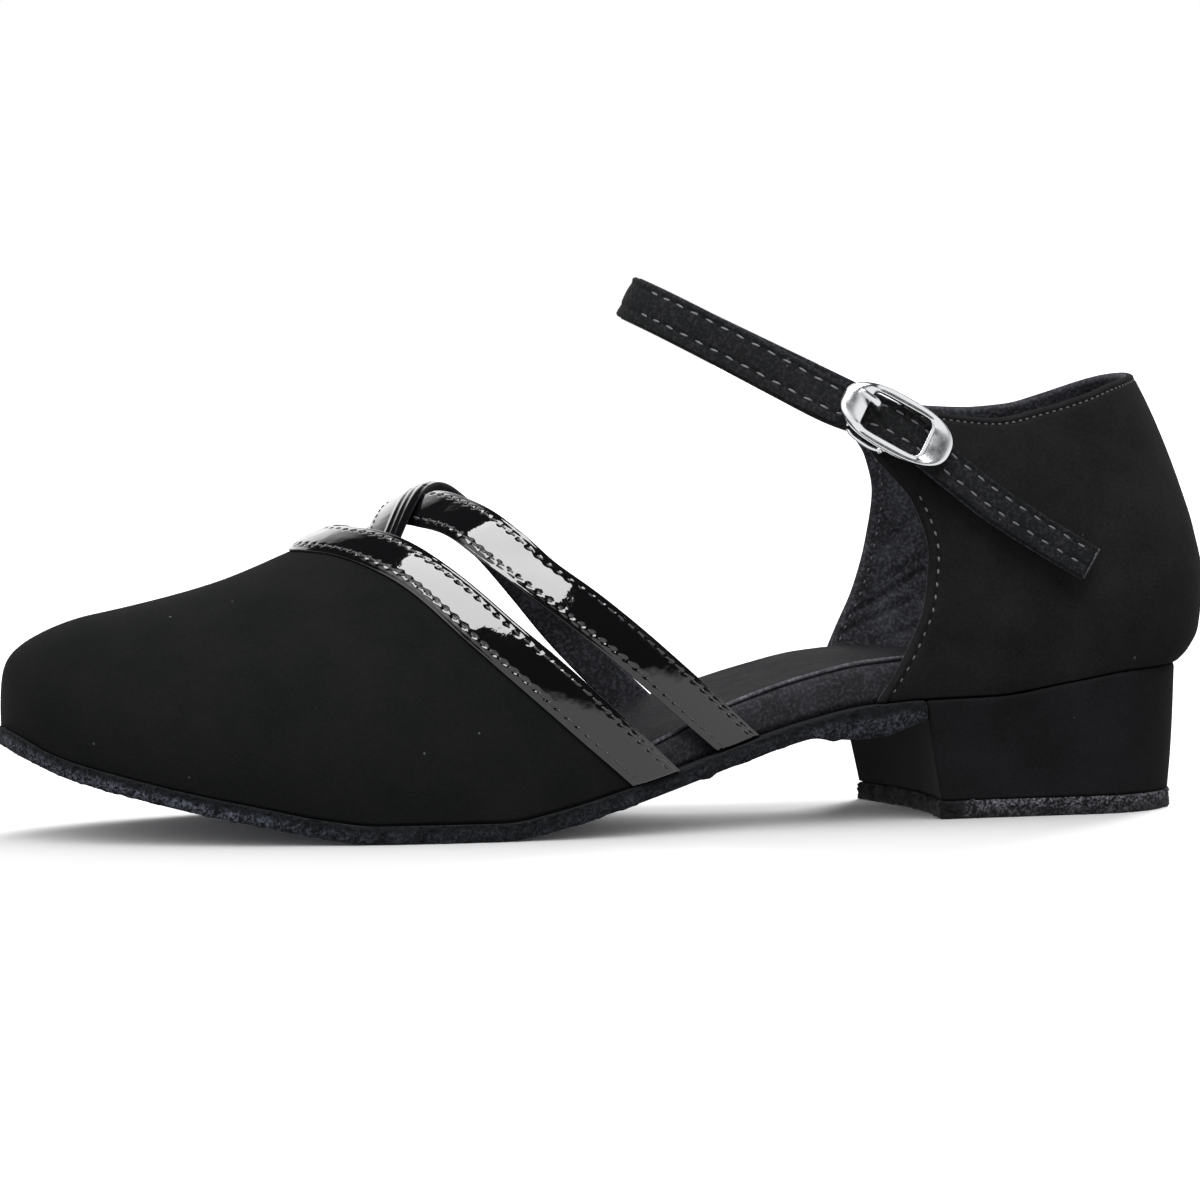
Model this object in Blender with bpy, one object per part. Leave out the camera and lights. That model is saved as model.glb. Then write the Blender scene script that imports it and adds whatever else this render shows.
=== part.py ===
"""Left block heel dance shoe: closed toe, open waist, straps crossed at the throat, buckled ankle strap.

Sizes are in millimetres and become metres when a mesh is made. A station is the distance from the toe tip
along the shoe. The toe points to -X, the outer side to -Y, up is +Z and the floor is z = 0.
"""
from collections import namedtuple

import bmesh
import bpy
import numpy as np

MM = 0.001
SHOE_LENGTH = 247.0
GAP = 0.3

# Sole and last
TOE_TIP_Y = 7.0
TOE_END = 62.0
FLAT_FROM = 66.0
FLAT_TO = 90.0
SOLE_BACK = 242.0
OUTSOLE_THICK = 3.5
SOLE_SAG = 0.9
SAG_FROM = 158.0
SAG_LONG = 14.0
EDGE_STEP = 1.0
NOSE = 18.0
NOSE_LEAD = 1.9
NOSE_ROOT = 6.0
RIDGE_REACH = 0.3
VAMP_WALL = 1.8
CUP_WALL = 2.2
CUP_FRONT = 150.0
EAR_AT = 172.0
EAR_HIGH = 80.0
EAR_OUT = 25.0
INSOLE_INSET = 3.8
INSOLE_SHOULDER = 1.4

# Heel
TOP_PIECE_THICK = 3.6
TOP_PIECE_SPREAD = 1.012
BREAST_HOLLOW = 3.0
BREAST_SKEW = 0.45

# Bands and straps
BAND_THICK = 1.3
STRAP_THICK = 1.3
STRAP_SINK = 0.2
STRAP_END = 0.64
STRAP_LEAST = 1.2
EDGE_CLEAR = 0.7
CROSS_DIP = 1.65
CROSS_HALF = 0.095
CROSS_EASE = 0.055
ANKLE_THICK = 1.8
ANKLE_AFT = 0.42
ANKLE_UP = 0.90

# Buckle, in its own frame: along the strap, across it, and out from it
BUCKLE_AT = (172.1, -30.4, 78.5)
BUCKLE_ALONG = (25.0, -2.0, -13.8)
BUCKLE_LEAN = 0.15
FRAME_LONG = 24.5
FRAME_WIDE = 11.8
WINDOW_LONG = 13.4
WINDOW_WIDE = 8.2
FRAME_LOW = 1.2
FRAME_HIGH = 2.9
FRAME_BEVEL = 0.5
FRAME_SQUARE = 3.2
WINDOW_SQUARE = 9.0
BAR_WIDE = 1.8
BAR_HIGH = 1.4
POST_IN = 4.7
POST_OUT = 5.8
POST_TOP = 2.0
HOLE_FRONT = -4.6
HOLE_BACK = 0.4
HOLE_HALF = 1.25
HOLE_DEEP = 3.0
PRONG_RADIUS = 0.8
TAB_FRONT = -2.4
TAB_BACK = 13.0
TAB_HALF = 3.2
TAB_LOW = 0.35
TAB_HIGH = 1.35

Side = namedtuple("Side", "sign ball_at ball waist_at waist seat_at seat")
LATERAL = Side(-1, 98.0, 42.0, 158.0, 29.0, 214.0, 28.0)
MEDIAL = Side(1, 82.0, 42.0, 148.0, 25.5, 214.0, 28.0)

Tread = namedtuple("Tread", "station height")
TREAD = (
    Tread(0, 18.2), Tread(9, 12.8), Tread(20, 9.4), Tread(32, 6.3), Tread(45, 3.5), Tread(56, 1.2),
    Tread(FLAT_FROM, 0), Tread(FLAT_TO, 0), Tread(101, 2.0), Tread(111, 4.5), Tread(126, 8.6),
    Tread(141, 13.0), Tread(155, 16.9), Tread(168, 19.6), Tread(180, 20.5), Tread(195, 20.9),
    Tread(210, 23.1), Tread(225, 25.3), Tread(242, 26.0),
)

Pad = namedtuple("Pad", "station thick")
INSOLE = (
    Pad(0, 2.6), Pad(80, 3.2), Pad(112, 5.0), Pad(142, 8.2), Pad(176, 8.4), Pad(205, 6.2), Pad(242, 5.0),
)

# Sections of the fore part: height and place of the ridge, fullness of side and top, swell of the side
Section = namedtuple("Section", "station height ridge side top swell")
SECTIONS = (
    Section(0, 39.5, 6.0, 0.60, 0.62, 3.0),
    Section(12, 41.4, 6.0, 0.60, 0.62, 3.0),
    Section(28, 44.5, 6.0, 0.60, 0.60, 3.6),
    Section(44, 48.6, 6.0, 0.58, 0.56, 3.6),
    Section(60, 55.0, 5.5, 0.55, 0.50, 3.0),
    Section(70, 59.2, 5.0, 0.54, 0.48, 2.0),
    Section(80, 64.9, 4.5, 0.52, 0.46, 1.5),
    Section(90, 69.6, 4.0, 0.51, 0.44, 0.5),
    Section(105, 76.0, 3.5, 0.50, 0.42, 0.0),
    Section(130, 88.0, 2.5, 0.48, 0.40, 0.0),
    Section(165, 99.0, 1.0, 0.48, 0.40, 0.0),
)

# The front band's two edges; around is 0 at the outer sole edge and 0.5 on the ridge
Band = namedtuple("Band", "around front rear")
BAND = (
    Band(0.0, 116.4, 126.1), Band(0.06, 105.3, 115.3), Band(0.12, 95.2, 105.4), Band(0.2, 83.2, 93.4),
    Band(0.3, 73.1, 81.7), Band(0.4, 64.1, 73.2), Band(0.45, 60.2, 69.6), Band(0.5, 58.4, 67.8),
)

# Edges of the rear straps, each from its own sole edge over the ridge to behind the band
Strap = namedtuple("Strap", "around outer_front outer_rear inner_front inner_rear")
STRAP = (
    Strap(0.0, 136.0, 145.4, 134.7, 142.7), Strap(0.06, 124.6, 134.6, 125.0, 132.6),
    Strap(0.12, 113.9, 124.0, 116.6, 123.6), Strap(0.18, 104.0, 114.1, 109.0, 116.4),
    Strap(0.24, 95.2, 105.2, 101.8, 109.6), Strap(0.30, 88.7, 98.4, 94.4, 102.6),
    Strap(0.36, 83.8, 93.4, 87.4, 96.5), Strap(0.42, 79.2, 89.4, 81.4, 91.6),
    Strap(0.5, 74.4, 84.8, 75.4, 85.8), Strap(0.58, 69.8, 79.6, 70.4, 80.2),
    Strap(0.66, 64.4, 73.6, 64.8, 74.0),
)

# The heel cup going up from the seat: station of its back, and how far its sides stand out
Level = namedtuple("Level", "height back spread")
LEVELS = (
    Level(0, 241.4, 0.98), Level(2.5, 244.0, 1.01), Level(7, 246.2, 1.04), Level(17, 247.0, 1.07),
    Level(27, 245.1, 1.06), Level(36, 242.2, 1.03), Level(46, 238.4, 0.98), Level(54, 234.8, 0.93),
    Level(60, 231.6, 0.89), Level(66, 228.0, 0.86),
)

Collar = namedtuple("Collar", "station lateral medial")
COLLAR = (
    Collar(160, 83.2, 84.2), Collar(172, 82.5, 83.7), Collar(184, 81.0, 82.8), Collar(195, 79.9, 82.1),
    Collar(206, 82.0, 81.6), Collar(215, 84.5, 82.3), Collar(222, 86.8, 84.4), Collar(232, 88.9, 88.9),
)

Front = namedtuple("Front", "height lateral medial")
FRONT = (
    Front(22, 169.0, 171.5), Front(34, 175.6, 177.4), Front(44, 179.2, 182.1), Front(54, 180.1, 184.8),
    Front(64, 177.2, 186.0), Front(72, 170.4, 184.0), Front(78, 166.2, 179.5), Front(86, 164.5, 175.0),
)

HeelLevel = namedtuple("HeelLevel", "rise breast back spread")
HEEL = (
    HeelLevel(0.0, 183.6, 239.6, 0.92), HeelLevel(0.3, 182.4, 240.3, 0.94),
    HeelLevel(0.7, 180.8, 240.8, 0.97), HeelLevel(1.0, 179.8, 241.0, 1.0),
)

# The ankle strap's middle line: where it lies, its way out from the middle (or from the cup), its lean and
# its width
LOOP_FRONT = 127.2
LOOP_HIGH = 104.0
LOOP_FALL = 0.465
LOOP_TIP = 0.14
Way = namedtuple("Way", "place station out off_cup height lean wide")
ANKLE = (
    Way("sewn end", 201, 1.5, True, None, -0.13, 8.8),
    Way("sewn middle", 191, 1.5, True, None, -0.13, 8.8),
    Way("inner ear", 181, 1.9, True, None, -0.13, 8.8),
    Way("inner side", 161, 24.5, False, None, -0.13, 8.8),
    Way("inner bend", 142, 19.5, False, None, -0.13, 8.8),
    Way("front inner", 130.8, 10.5, False, None, -0.13, 8.8),
    Way("front", 127.2, 0.0, False, None, -0.13, 8.8),
    Way("front outer", 131.0, -10.5, False, None, -0.13, 8.8),
    Way("outer bend", 140.5, -19.0, False, 94.8, -0.10, 8.8),
    Way("outer side", 150.5, -24.8, False, 88.8, -0.02, 8.8),
    Way("buckle front", 160.5, -29.2, False, 83.0, 0.12, 8.5),
    Way("buckle", 172.1, -30.4, False, 77.8, 0.15, 7.5),
    Way("buckle back", 185.5, -31.2, False, 68.5, 0.15, 7.5),
    Way("tail root", 192, -31.4, False, 63.5, 0.14, 7.5),
    Way("tail", 199, -31.6, False, 58.9, 0.12, 7.4),
    Way("tail end", 212.5, -32.6, False, 50.7, 0.06, 7.2),
)

# The prong's middle line in the buckle's frame; lift is counted from where it lies on the frame
Prong = namedtuple("Prong", "along lift")
PRONG = (
    Prong(-1.0, -4.35), Prong(-2.0, -3.4), Prong(-3.3, -1.8), Prong(-5.0, -0.35), Prong(-6.8, 0.0),
    Prong(-10.4, 0.0),
)

# Red, green, blue, roughness, metal
COLOURS = {
    "outsole": (0.030, 0.032, 0.040, 0.95, 0.0),
    "insole": (0.030, 0.030, 0.032, 0.70, 0.0),
    "heel_block": (0.012, 0.012, 0.013, 0.90, 0.0),
    "heel_top_piece": (0.050, 0.050, 0.052, 0.95, 0.0),
    "vamp": (0.011, 0.011, 0.012, 0.92, 0.0),
    "quarter": (0.012, 0.012, 0.013, 0.92, 0.0),
    "vamp_band": (0.008, 0.008, 0.009, 0.12, 0.0),
    "strap_lateral": (0.008, 0.008, 0.009, 0.12, 0.0),
    "strap_medial": (0.008, 0.008, 0.009, 0.12, 0.0),
    "ankle_strap": (0.016, 0.016, 0.017, 0.70, 0.0),
    "buckle_frame": (0.80, 0.80, 0.82, 0.12, 1.0),
    "buckle_prong": (0.80, 0.80, 0.82, 0.14, 1.0),
    "buckle_tab": (0.015, 0.015, 0.016, 0.75, 0.0),
}


def smooth(k):
    """An easy step from 0 to 1."""
    k = np.clip(k, 0.0, 1.0)
    return k * k * (3.0 - 2.0 * k)


def round_end(k, lead=2.2, root=2.0):
    """Closing of a rounded end, from 0 at its tip to 1 where it has its full size."""
    k = np.clip(k, 0.0, 1.0)
    return (1.0 - (1.0 - k) ** lead) ** (1.0 / root)


def curve(xs, ys):
    """A smooth line through table rows that never swings past them."""
    xs = np.asarray(xs, float)
    ys = np.asarray(ys, float)
    step = np.diff(xs)
    rise = np.diff(ys) / step
    slope = np.zeros_like(xs)
    slope[0], slope[-1] = rise[0], rise[-1]
    for i in range(1, len(xs) - 1):
        if rise[i - 1] * rise[i] > 0:
            w1 = 2 * step[i] + step[i - 1]
            w2 = step[i] + 2 * step[i - 1]
            slope[i] = (w1 + w2) / (w1 / rise[i - 1] + w2 / rise[i])

    def at(x):
        x = np.clip(np.asarray(x, float), xs[0], xs[-1])
        i = np.clip(np.searchsorted(xs, x, side="right") - 1, 0, len(xs) - 2)
        k = (x - xs[i]) / step[i]
        start = (1 + 2 * k) * (1 - k) ** 2 * ys[i] + k * (1 - k) ** 2 * step[i] * slope[i]
        stop = k * k * (3 - 2 * k) * ys[i + 1] + k * k * (k - 1) * step[i] * slope[i + 1]
        return start + stop

    return at


def column(rows, name, key="station"):
    """One column of a table as a smooth line over its key column."""
    return curve([getattr(r, key) for r in rows], [getattr(r, name) for r in rows])


def mirrored(rows, name):
    """A column that runs from the outer sole edge to the ridge, and back down the inner side."""
    xs = [r.around for r in rows]
    ys = [getattr(r, name) for r in rows]
    return curve(xs + [1 - x for x in xs[-2::-1]], ys + ys[-2::-1])


tread = column(TREAD, "height")
pad = column(INSOLE, "thick")
ridge_high = column(SECTIONS, "height")
ridge_y = column(SECTIONS, "ridge")
side_full = column(SECTIONS, "side")
top_full = column(SECTIONS, "top")
swell = column(SECTIONS, "swell")
band_front = mirrored(BAND, "front")
band_rear = mirrored(BAND, "rear")
outer_front = column(STRAP, "outer_front", "around")
outer_rear = column(STRAP, "outer_rear", "around")
inner_front = column(STRAP, "inner_front", "around")
inner_rear = column(STRAP, "inner_rear", "around")
level_back = column(LEVELS, "back", "height")
level_spread = column(LEVELS, "spread", "height")
collar_lateral = column(COLLAR, "lateral")
collar_medial = column(COLLAR, "medial")
front_lateral = column(FRONT, "lateral", "height")
front_medial = column(FRONT, "medial", "height")


def seat(t):
    """Height of the outsole's upper face and of the heel seat."""
    return tread(t) + OUTSOLE_THICK


def sole_under(t):
    """Height of the outsole's under face, which hangs a little lower towards the heel's breast."""
    return tread(t) - SOLE_SAG * smooth((t - SAG_FROM) / SAG_LONG)


def half_width(side, t, inset=0.0):
    """How far the sole's edge lies out from the middle line on one side, drawn in by an inset."""
    t = np.asarray(t, float)
    tip = TOE_TIP_Y * side.sign
    toe = tip + (side.ball - inset - tip) * round_end((t - inset) / (side.ball_at - inset))
    fore = smooth((t - side.ball_at) / (side.waist_at - side.ball_at))
    mid = side.ball + (side.waist - side.ball) * fore - inset
    aft = smooth((t - side.waist_at) / (side.seat_at - side.waist_at))
    rear = side.waist + (side.seat - side.waist) * aft - inset
    end = SOLE_BACK - inset
    heel = (side.seat - inset) * round_end((end - t) / (end - side.seat_at))
    out = np.where(t < side.ball_at, toe, mid)
    out = np.where(t > side.waist_at, rear, out)
    return np.where(t > side.seat_at, heel, out)


def bezier(p0, p1, p2, p3, w):
    v = 1 - w
    return p0 * v ** 3 + 3 * p1 * v * v * w + 3 * p2 * v * w * w + p3 * w ** 3


def skin(t, around):
    """Outer face of the fore part; around runs from the outer sole edge over the ridge to the inner one."""
    t, around = np.broadcast_arrays(np.asarray(t, float), np.asarray(around, float))
    low = seat(t) + GAP
    nose = round_end((t - EDGE_STEP) / NOSE, NOSE_LEAD, NOSE_ROOT)
    rise = (ridge_high(t) - low) * nose
    left = -half_width(LATERAL, t, EDGE_STEP)
    right = half_width(MEDIAL, t, EDGE_STEP)
    middle = 0.5 * (left + right)
    reach = RIDGE_REACH * (right - left)
    ridge = np.clip(ridge_y(t), middle - reach, middle + reach)
    outer = around < 0.5
    edge = np.where(outer, left, right)
    w = np.where(outer, 2 * around, 2 - 2 * around)
    bulge = np.where(outer, -1.0, 1.0) * swell(t) * nose
    y = bezier(edge, edge + bulge, ridge + (edge - ridge) * top_full(t), ridge, w)
    z = low + bezier(0.0, rise * side_full(t), rise, rise, w)
    return np.stack([t - SHOE_LENGTH / 2, y, z], -1)


def cup_side(side, t, z):
    """How far the heel cup's outer face lies out from the middle line at a station and height."""
    h = z - seat(t)
    scale = (level_back(h) - CUP_FRONT) / (SOLE_BACK - EDGE_STEP - CUP_FRONT)
    base = CUP_FRONT + (t - CUP_FRONT) / scale
    return half_width(side, base, EDGE_STEP) * level_spread(h)


def cup_line(side):
    """Plan line of the heel cup at the seat, as distances from the back, stations and widths."""
    end = SOLE_BACK - EDGE_STEP
    t = end - (end - CUP_FRONT) * np.linspace(0, 1, 900) ** 2
    y = half_width(side, t, EDGE_STEP)
    run = np.concatenate([[0.0], np.cumsum(np.hypot(np.diff(t), np.diff(y)))])
    return run, t, y


def offset(grid, out):
    """A grid moved out along its own normals (rows by columns gives the outward side)."""
    along = np.gradient(grid, axis=0)
    across = np.gradient(grid, axis=1)
    normal = np.cross(along, across)
    size = np.linalg.norm(normal, axis=-1, keepdims=True)
    normal = normal / np.maximum(size, 1e-9)
    for row in (0, -1):
        if np.ptp(grid[row], axis=0).max() < 1e-6:
            mean = normal[1 if row == 0 else -2].mean(axis=0)
            normal[row] = mean / np.linalg.norm(mean)
    return grid + normal * np.broadcast_to(out, grid.shape[:2])[..., None]


def rest_on_sole(grid, rows_or_columns):
    """Lowest edge of an upper piece set just clear of the sole's upper face."""
    for pick in rows_or_columns:
        grid[pick][..., 2] = seat(grid[pick][..., 0] + SHOE_LENGTH / 2) + GAP
    return grid


def border(grid):
    """Points round the edge of a grid, in order."""
    return np.concatenate([grid[0, :], grid[1:, -1], grid[-1, -2::-1], grid[-2:0:-1, 0]])


def tiles(grid):
    """Four-sided faces of a grid."""
    return [
        (grid[i, j], grid[i + 1, j], grid[i + 1, j + 1], grid[i, j + 1])
        for i in range(grid.shape[0] - 1)
        for j in range(grid.shape[1] - 1)
    ]


def finish(name, faces):
    """An object from faces given as points; equal points become one."""
    spots = {}
    points = []
    polygons = []
    for face in faces:
        ring = []
        for p in face:
            key = tuple(int(round(float(c) * 20000)) for c in p)
            if key not in spots:
                spots[key] = len(points)
                points.append([float(c) * MM for c in p])
            if spots[key] not in ring:
                ring.append(spots[key])
        if len(ring) > 2:
            polygons.append(ring)
    mesh = bpy.data.meshes.new(name)
    mesh.from_pydata(points, [], polygons)
    bm = bmesh.new()
    bm.from_mesh(mesh)
    bmesh.ops.recalc_face_normals(bm, faces=bm.faces)
    bm.to_mesh(mesh)
    bm.free()
    obj = bpy.data.objects.new(name, mesh)
    bpy.context.scene.collection.objects.link(obj)
    return obj


def dress(obj, is_round=True):
    """Colour and shading of a finished piece."""
    red, green, blue, rough, metal = COLOURS[obj.name]
    material = bpy.data.materials.new(obj.name)
    material.use_nodes = True
    shader = material.node_tree.nodes["Principled BSDF"]
    shader.inputs["Base Color"].default_value = (red, green, blue, 1.0)
    shader.inputs["Roughness"].default_value = rough
    shader.inputs["Metallic"].default_value = metal
    obj.data.materials.append(material)
    if is_round:
        obj.data.shade_smooth()
    return obj


def stack(name, grids):
    """A closed solid from grids laid one over another: the first is its under face, the last its top."""
    faces = tiles(grids[0]) + tiles(grids[-1])
    for below, above in zip(grids[:-1], grids[1:]):
        a = border(below)
        b = border(above)
        for i in range(len(a)):
            j = (i + 1) % len(a)
            faces.append((a[i], a[j], b[j], b[i]))
    return finish(name, faces)


def toe_rows(first, last, dense, even):
    """Stations that lie close together round the toe and evenly behind it."""
    toe = first + (TOE_END - first) * np.linspace(0, 1, dense) ** 2
    return np.concatenate([toe, np.linspace(TOE_END, last, even)[1:]])


def breast_line(across):
    """Shape of the heel's breast across the shoe: hollow, and further forward on the inner side."""
    return 1 - across ** 2 - BREAST_SKEW * (across + 1) / 2


def sole_grid(rows, across, inset, height, end_bow):
    """A plan grid of the sole from edge to edge, its last row bowed to follow the heel's breast."""
    t = np.repeat(rows[:, None], len(across), axis=1)
    bow = smooth((t - CUP_FRONT) / (rows[-1] - CUP_FRONT)) * breast_line(across[None, :]) * end_bow
    left = -half_width(LATERAL, t, inset)
    right = half_width(MEDIAL, t, inset)
    y = left + (right - left) * (across[None, :] + 1) / 2
    t = t + bow
    return np.stack([t - SHOE_LENGTH / 2, y, height(t)], -1)


def make_outsole():
    rows = np.union1d(toe_rows(0.0, HEEL[-1].breast - GAP, 17, 26), [FLAT_FROM, FLAT_TO])
    across = np.linspace(-1, 1, 7)
    low = sole_grid(rows, across, 0.0, sole_under, BREAST_HOLLOW)
    high = sole_grid(rows, across, 0.0, seat, BREAST_HOLLOW)
    dress(stack("outsole", [low, high]))


def make_insole():
    end = SOLE_BACK - INSOLE_INSET
    bend = LATERAL.seat_at
    rows = toe_rows(INSOLE_INSET, bend, 14, 20)
    rows = np.concatenate([rows, end - (end - bend) * np.linspace(1, 0, 8)[1:] ** 2])
    across = np.linspace(-1, 1, 6)
    inner = INSOLE_INSET + INSOLE_SHOULDER
    shrink = inner + (end - INSOLE_SHOULDER - inner) * (rows - rows[0]) / (rows[-1] - rows[0])
    low = sole_grid(rows, across, INSOLE_INSET, lambda t: seat(t) + GAP, 0.0)
    mid = sole_grid(rows, across, INSOLE_INSET, lambda t: seat(t) + GAP + pad(t) - INSOLE_SHOULDER, 0.0)
    high = sole_grid(shrink, across, inner, lambda t: seat(t) + GAP + pad(t), 0.0)
    dress(stack("insole", [low, mid, high]))


def heel_grid(level, rise, across, rows, spread=1.0, low=TOP_PIECE_THICK + GAP):
    """A level of the heel: hollow breast in front, round at the back."""
    top = HEEL[-1]
    k = 1 - (1 - np.linspace(0, 1, rows)) ** 2
    k = np.repeat(k[:, None], len(across), axis=1)
    base = top.breast + (top.back - top.breast) * k
    left = -half_width(LATERAL, base, SOLE_BACK - top.back)
    right = half_width(MEDIAL, base, SOLE_BACK - top.back)
    y = (left + (right - left) * (across[None, :] + 1) / 2) * level.spread * spread
    hollow = BREAST_HOLLOW * breast_line(across[None, :]) * (1 - smooth(k * 3))
    t = level.breast + (level.back - level.breast) * k + hollow
    t = t + (spread - 1.0) * (t - 0.5 * (level.breast + level.back))
    z = low + rise * (seat(t) - low)
    return np.stack([t - SHOE_LENGTH / 2, y, z], -1)


def make_heel():
    across = np.linspace(-1, 1, 8)
    grids = [heel_grid(level, level.rise, across, 12) for level in HEEL]
    dress(stack("heel_block", grids))
    low = heel_grid(HEEL[0], 0.0, across, 12, TOP_PIECE_SPREAD, 0.0)
    high = heel_grid(HEEL[0], 0.0, across, 12, TOP_PIECE_SPREAD, TOP_PIECE_THICK)
    dress(stack("heel_top_piece", [low, high]), False)


def vamp_edge(around):
    """Station where the toe part ends, under the middle of the band."""
    return 0.5 * (band_front(around) + band_rear(around)) - 0.6


def make_vamp():
    around = np.linspace(0, 1, 41)
    k = np.linspace(0, 1, 18) ** 1.7
    t = EDGE_STEP + (vamp_edge(around)[None, :] - EDGE_STEP) * k[:, None]
    outer = skin(t, around[None, :])
    inner = offset(outer, -VAMP_WALL)
    feather = [(slice(None), 0), (slice(None), -1)]
    dress(stack("vamp", [rest_on_sole(inner, feather), rest_on_sole(outer, feather)]))


def make_band():
    around = np.linspace(0, 1, 41)
    k = np.linspace(0, 1, 4)[:, None]
    base = skin(band_front(around)[None, :] * (1 - k) + band_rear(around)[None, :] * k, around[None, :])
    ends = [(slice(None), 0), (slice(None), -1)]
    low = rest_on_sole(offset(base, GAP), ends)
    high = rest_on_sole(offset(base, GAP + BAND_THICK), ends)
    dress(stack("vamp_band", [low, high]))


def make_rear_strap(name, front_line, rear_line, flip, dip):
    """One rear strap; the outer one dips to pass under the crossing."""
    along = np.linspace(0, STRAP_END, 30)
    k = np.linspace(-1, 1, 4)[:, None]
    around = 1 - along if flip else along
    front = np.maximum(front_line(along), vamp_edge(around) + EDGE_CLEAR)
    rear = np.maximum(rear_line(along), front + STRAP_LEAST)
    base = skin(front[None, :] * (1 - k) / 2 + rear[None, :] * (1 + k) / 2, around[None, :])
    if flip:
        base = base[:, ::-1]
        along = along[::-1]
    sink = -STRAP_SINK - dip * (1 - smooth((np.abs(along - 0.5) - CROSS_HALF) / CROSS_EASE))
    low = offset(base, sink - STRAP_THICK)
    high = offset(base, sink)
    end = [(slice(None), -1 if flip else 0)]
    dress(stack(name, [rest_on_sole(low, end), rest_on_sole(high, end)]))


def make_quarter():
    """The heel cup, from the inner front edge round the back to the outer front edge."""
    share = np.linspace(-1, 1, 43)
    rows = np.linspace(0, 1, 12)
    lines = {-1: cup_line(LATERAL), 1: cup_line(MEDIAL)}
    grid = np.zeros((len(rows), len(share), 3))
    for i, up in enumerate(rows):
        for j, s in enumerate(share):
            sign = 1 if s < 0 else -1
            run, stations, widths = lines[sign]
            front = front_medial if sign > 0 else front_lateral
            collar = collar_medial if sign > 0 else collar_lateral
            low = seat(EAR_AT) + GAP
            edge_z = low + up * (collar(front(EAR_HIGH)) - low)
            t = SOLE_BACK
            for _ in range(12):
                height = seat(t) + GAP + up * (collar(t) - seat(t) - GAP)
                rise = height - seat(t)
                scale = (level_back(rise) - CUP_FRONT) / (stations[0] - CUP_FRONT)
                first = CUP_FRONT + (front(edge_z) - CUP_FRONT) / scale
                reach = np.interp(-first, -stations, run)
                base = np.interp(abs(s) * reach, run, stations)
                t = CUP_FRONT + (base - CUP_FRONT) * scale
            y = sign * np.interp(abs(s) * reach, run, widths) * level_spread(rise)
            grid[i, j] = (t - SHOE_LENGTH / 2, y, height)
    inner = offset(grid, -CUP_WALL)
    foot = [(0, slice(None))]
    dress(stack("quarter", [rest_on_sole(inner, foot), rest_on_sole(grid, foot)]))


def ankle_way():
    """Points of the ankle strap's middle line, with the lean of its width and the width there."""
    points = []
    for row in ANKLE:
        drop = LOOP_HIGH - LOOP_FALL * (row.station - LOOP_FRONT)
        z = row.height
        y = row.out
        if z is None:
            y_guess = EAR_OUT if row.off_cup else y
            z = drop + LOOP_TIP * y_guess
        if row.off_cup:
            y = float(cup_side(MEDIAL, row.station, z)) + row.out
        points.append((row.station - SHOE_LENGTH / 2, y, z, row.lean, row.wide))
    return np.array(points)


def smooth_way(points, count):
    """Even points on a smooth line through the given ones."""
    reach = np.concatenate([[0.0], np.cumsum(np.linalg.norm(np.diff(points[:, :3], axis=0), axis=1))])
    slope = np.gradient(points, reach, axis=0)
    s = np.linspace(0, reach[-1], count)
    i = np.clip(np.searchsorted(reach, s, side="right") - 1, 0, len(reach) - 2)
    step = (reach[i + 1] - reach[i])[:, None]
    k = ((s - reach[i]) / (reach[i + 1] - reach[i]))[:, None]
    start = (1 + 2 * k) * (1 - k) ** 2 * points[i] + k * (1 - k) ** 2 * step * slope[i]
    stop = k * k * (3 - 2 * k) * points[i + 1] + k * k * (k - 1) * step * slope[i + 1]
    return start + stop


def strap_axes(way):
    """Tangent, width and outward directions along the ankle strap."""
    tangent = np.gradient(way[:, :3], axis=0)
    tangent /= np.linalg.norm(tangent, axis=1, keepdims=True)
    up = np.stack([np.full(len(way), ANKLE_AFT), way[:, 3], np.full(len(way), ANKLE_UP)], -1)
    wide = up - (up * tangent).sum(axis=1, keepdims=True) * tangent
    wide /= np.linalg.norm(wide, axis=1, keepdims=True)
    return tangent, wide, np.cross(tangent, wide)


def buckle_place():
    """Middle of the buckle and its three directions."""
    middle = np.array(BUCKLE_AT) - np.array([SHOE_LENGTH / 2, 0.0, 0.0])
    tangent = np.array(BUCKLE_ALONG) / np.linalg.norm(BUCKLE_ALONG)
    up = np.array([ANKLE_AFT, BUCKLE_LEAN, ANKLE_UP])
    wide = up - (up @ tangent) * tangent
    wide /= np.linalg.norm(wide)
    return middle, tangent, wide, np.cross(tangent, wide)


def in_buckle(a, b, c):
    """A point given along, across and out from the buckle."""
    middle, along, across, out = buckle_place()
    return middle + a * along + b * across + c * out


def make_ankle_strap():
    way = smooth_way(ankle_way(), 74)
    tangent, wide, out = strap_axes(way)
    k = np.linspace(-0.5, 0.5, 3)
    base = way[:, None, :3] + wide[:, None, :] * (way[:, 4:5] * k[None, :])[..., None]
    low = base - out[:, None, :] * ANKLE_THICK / 2
    high = base + out[:, None, :] * ANKLE_THICK / 2
    strap = stack("ankle_strap", [low, high])
    half = (-HOLE_HALF, HOLE_HALF)
    slot = box_in_buckle("prong_hole", (HOLE_FRONT, HOLE_BACK), half, (-HOLE_DEEP, HOLE_DEEP))
    slot.hide_render = True
    slot.display_type = "WIRE"
    cut = strap.modifiers.new("prong_hole", "BOOLEAN")
    cut.operation = "DIFFERENCE"
    cut.solver = "EXACT"
    cut.object = slot
    dress(strap)


def box_in_buckle(name, a, b, c):
    """A plain block in the buckle's own frame."""
    corner = [[[in_buckle(i, j, k) for k in c] for j in b] for i in a]
    low = np.array([[corner[0][0][0], corner[0][1][0]], [corner[1][0][0], corner[1][1][0]]])
    high = np.array([[corner[0][0][1], corner[0][1][1]], [corner[1][0][1], corner[1][1][1]]])
    return stack(name, [low, high])


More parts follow.
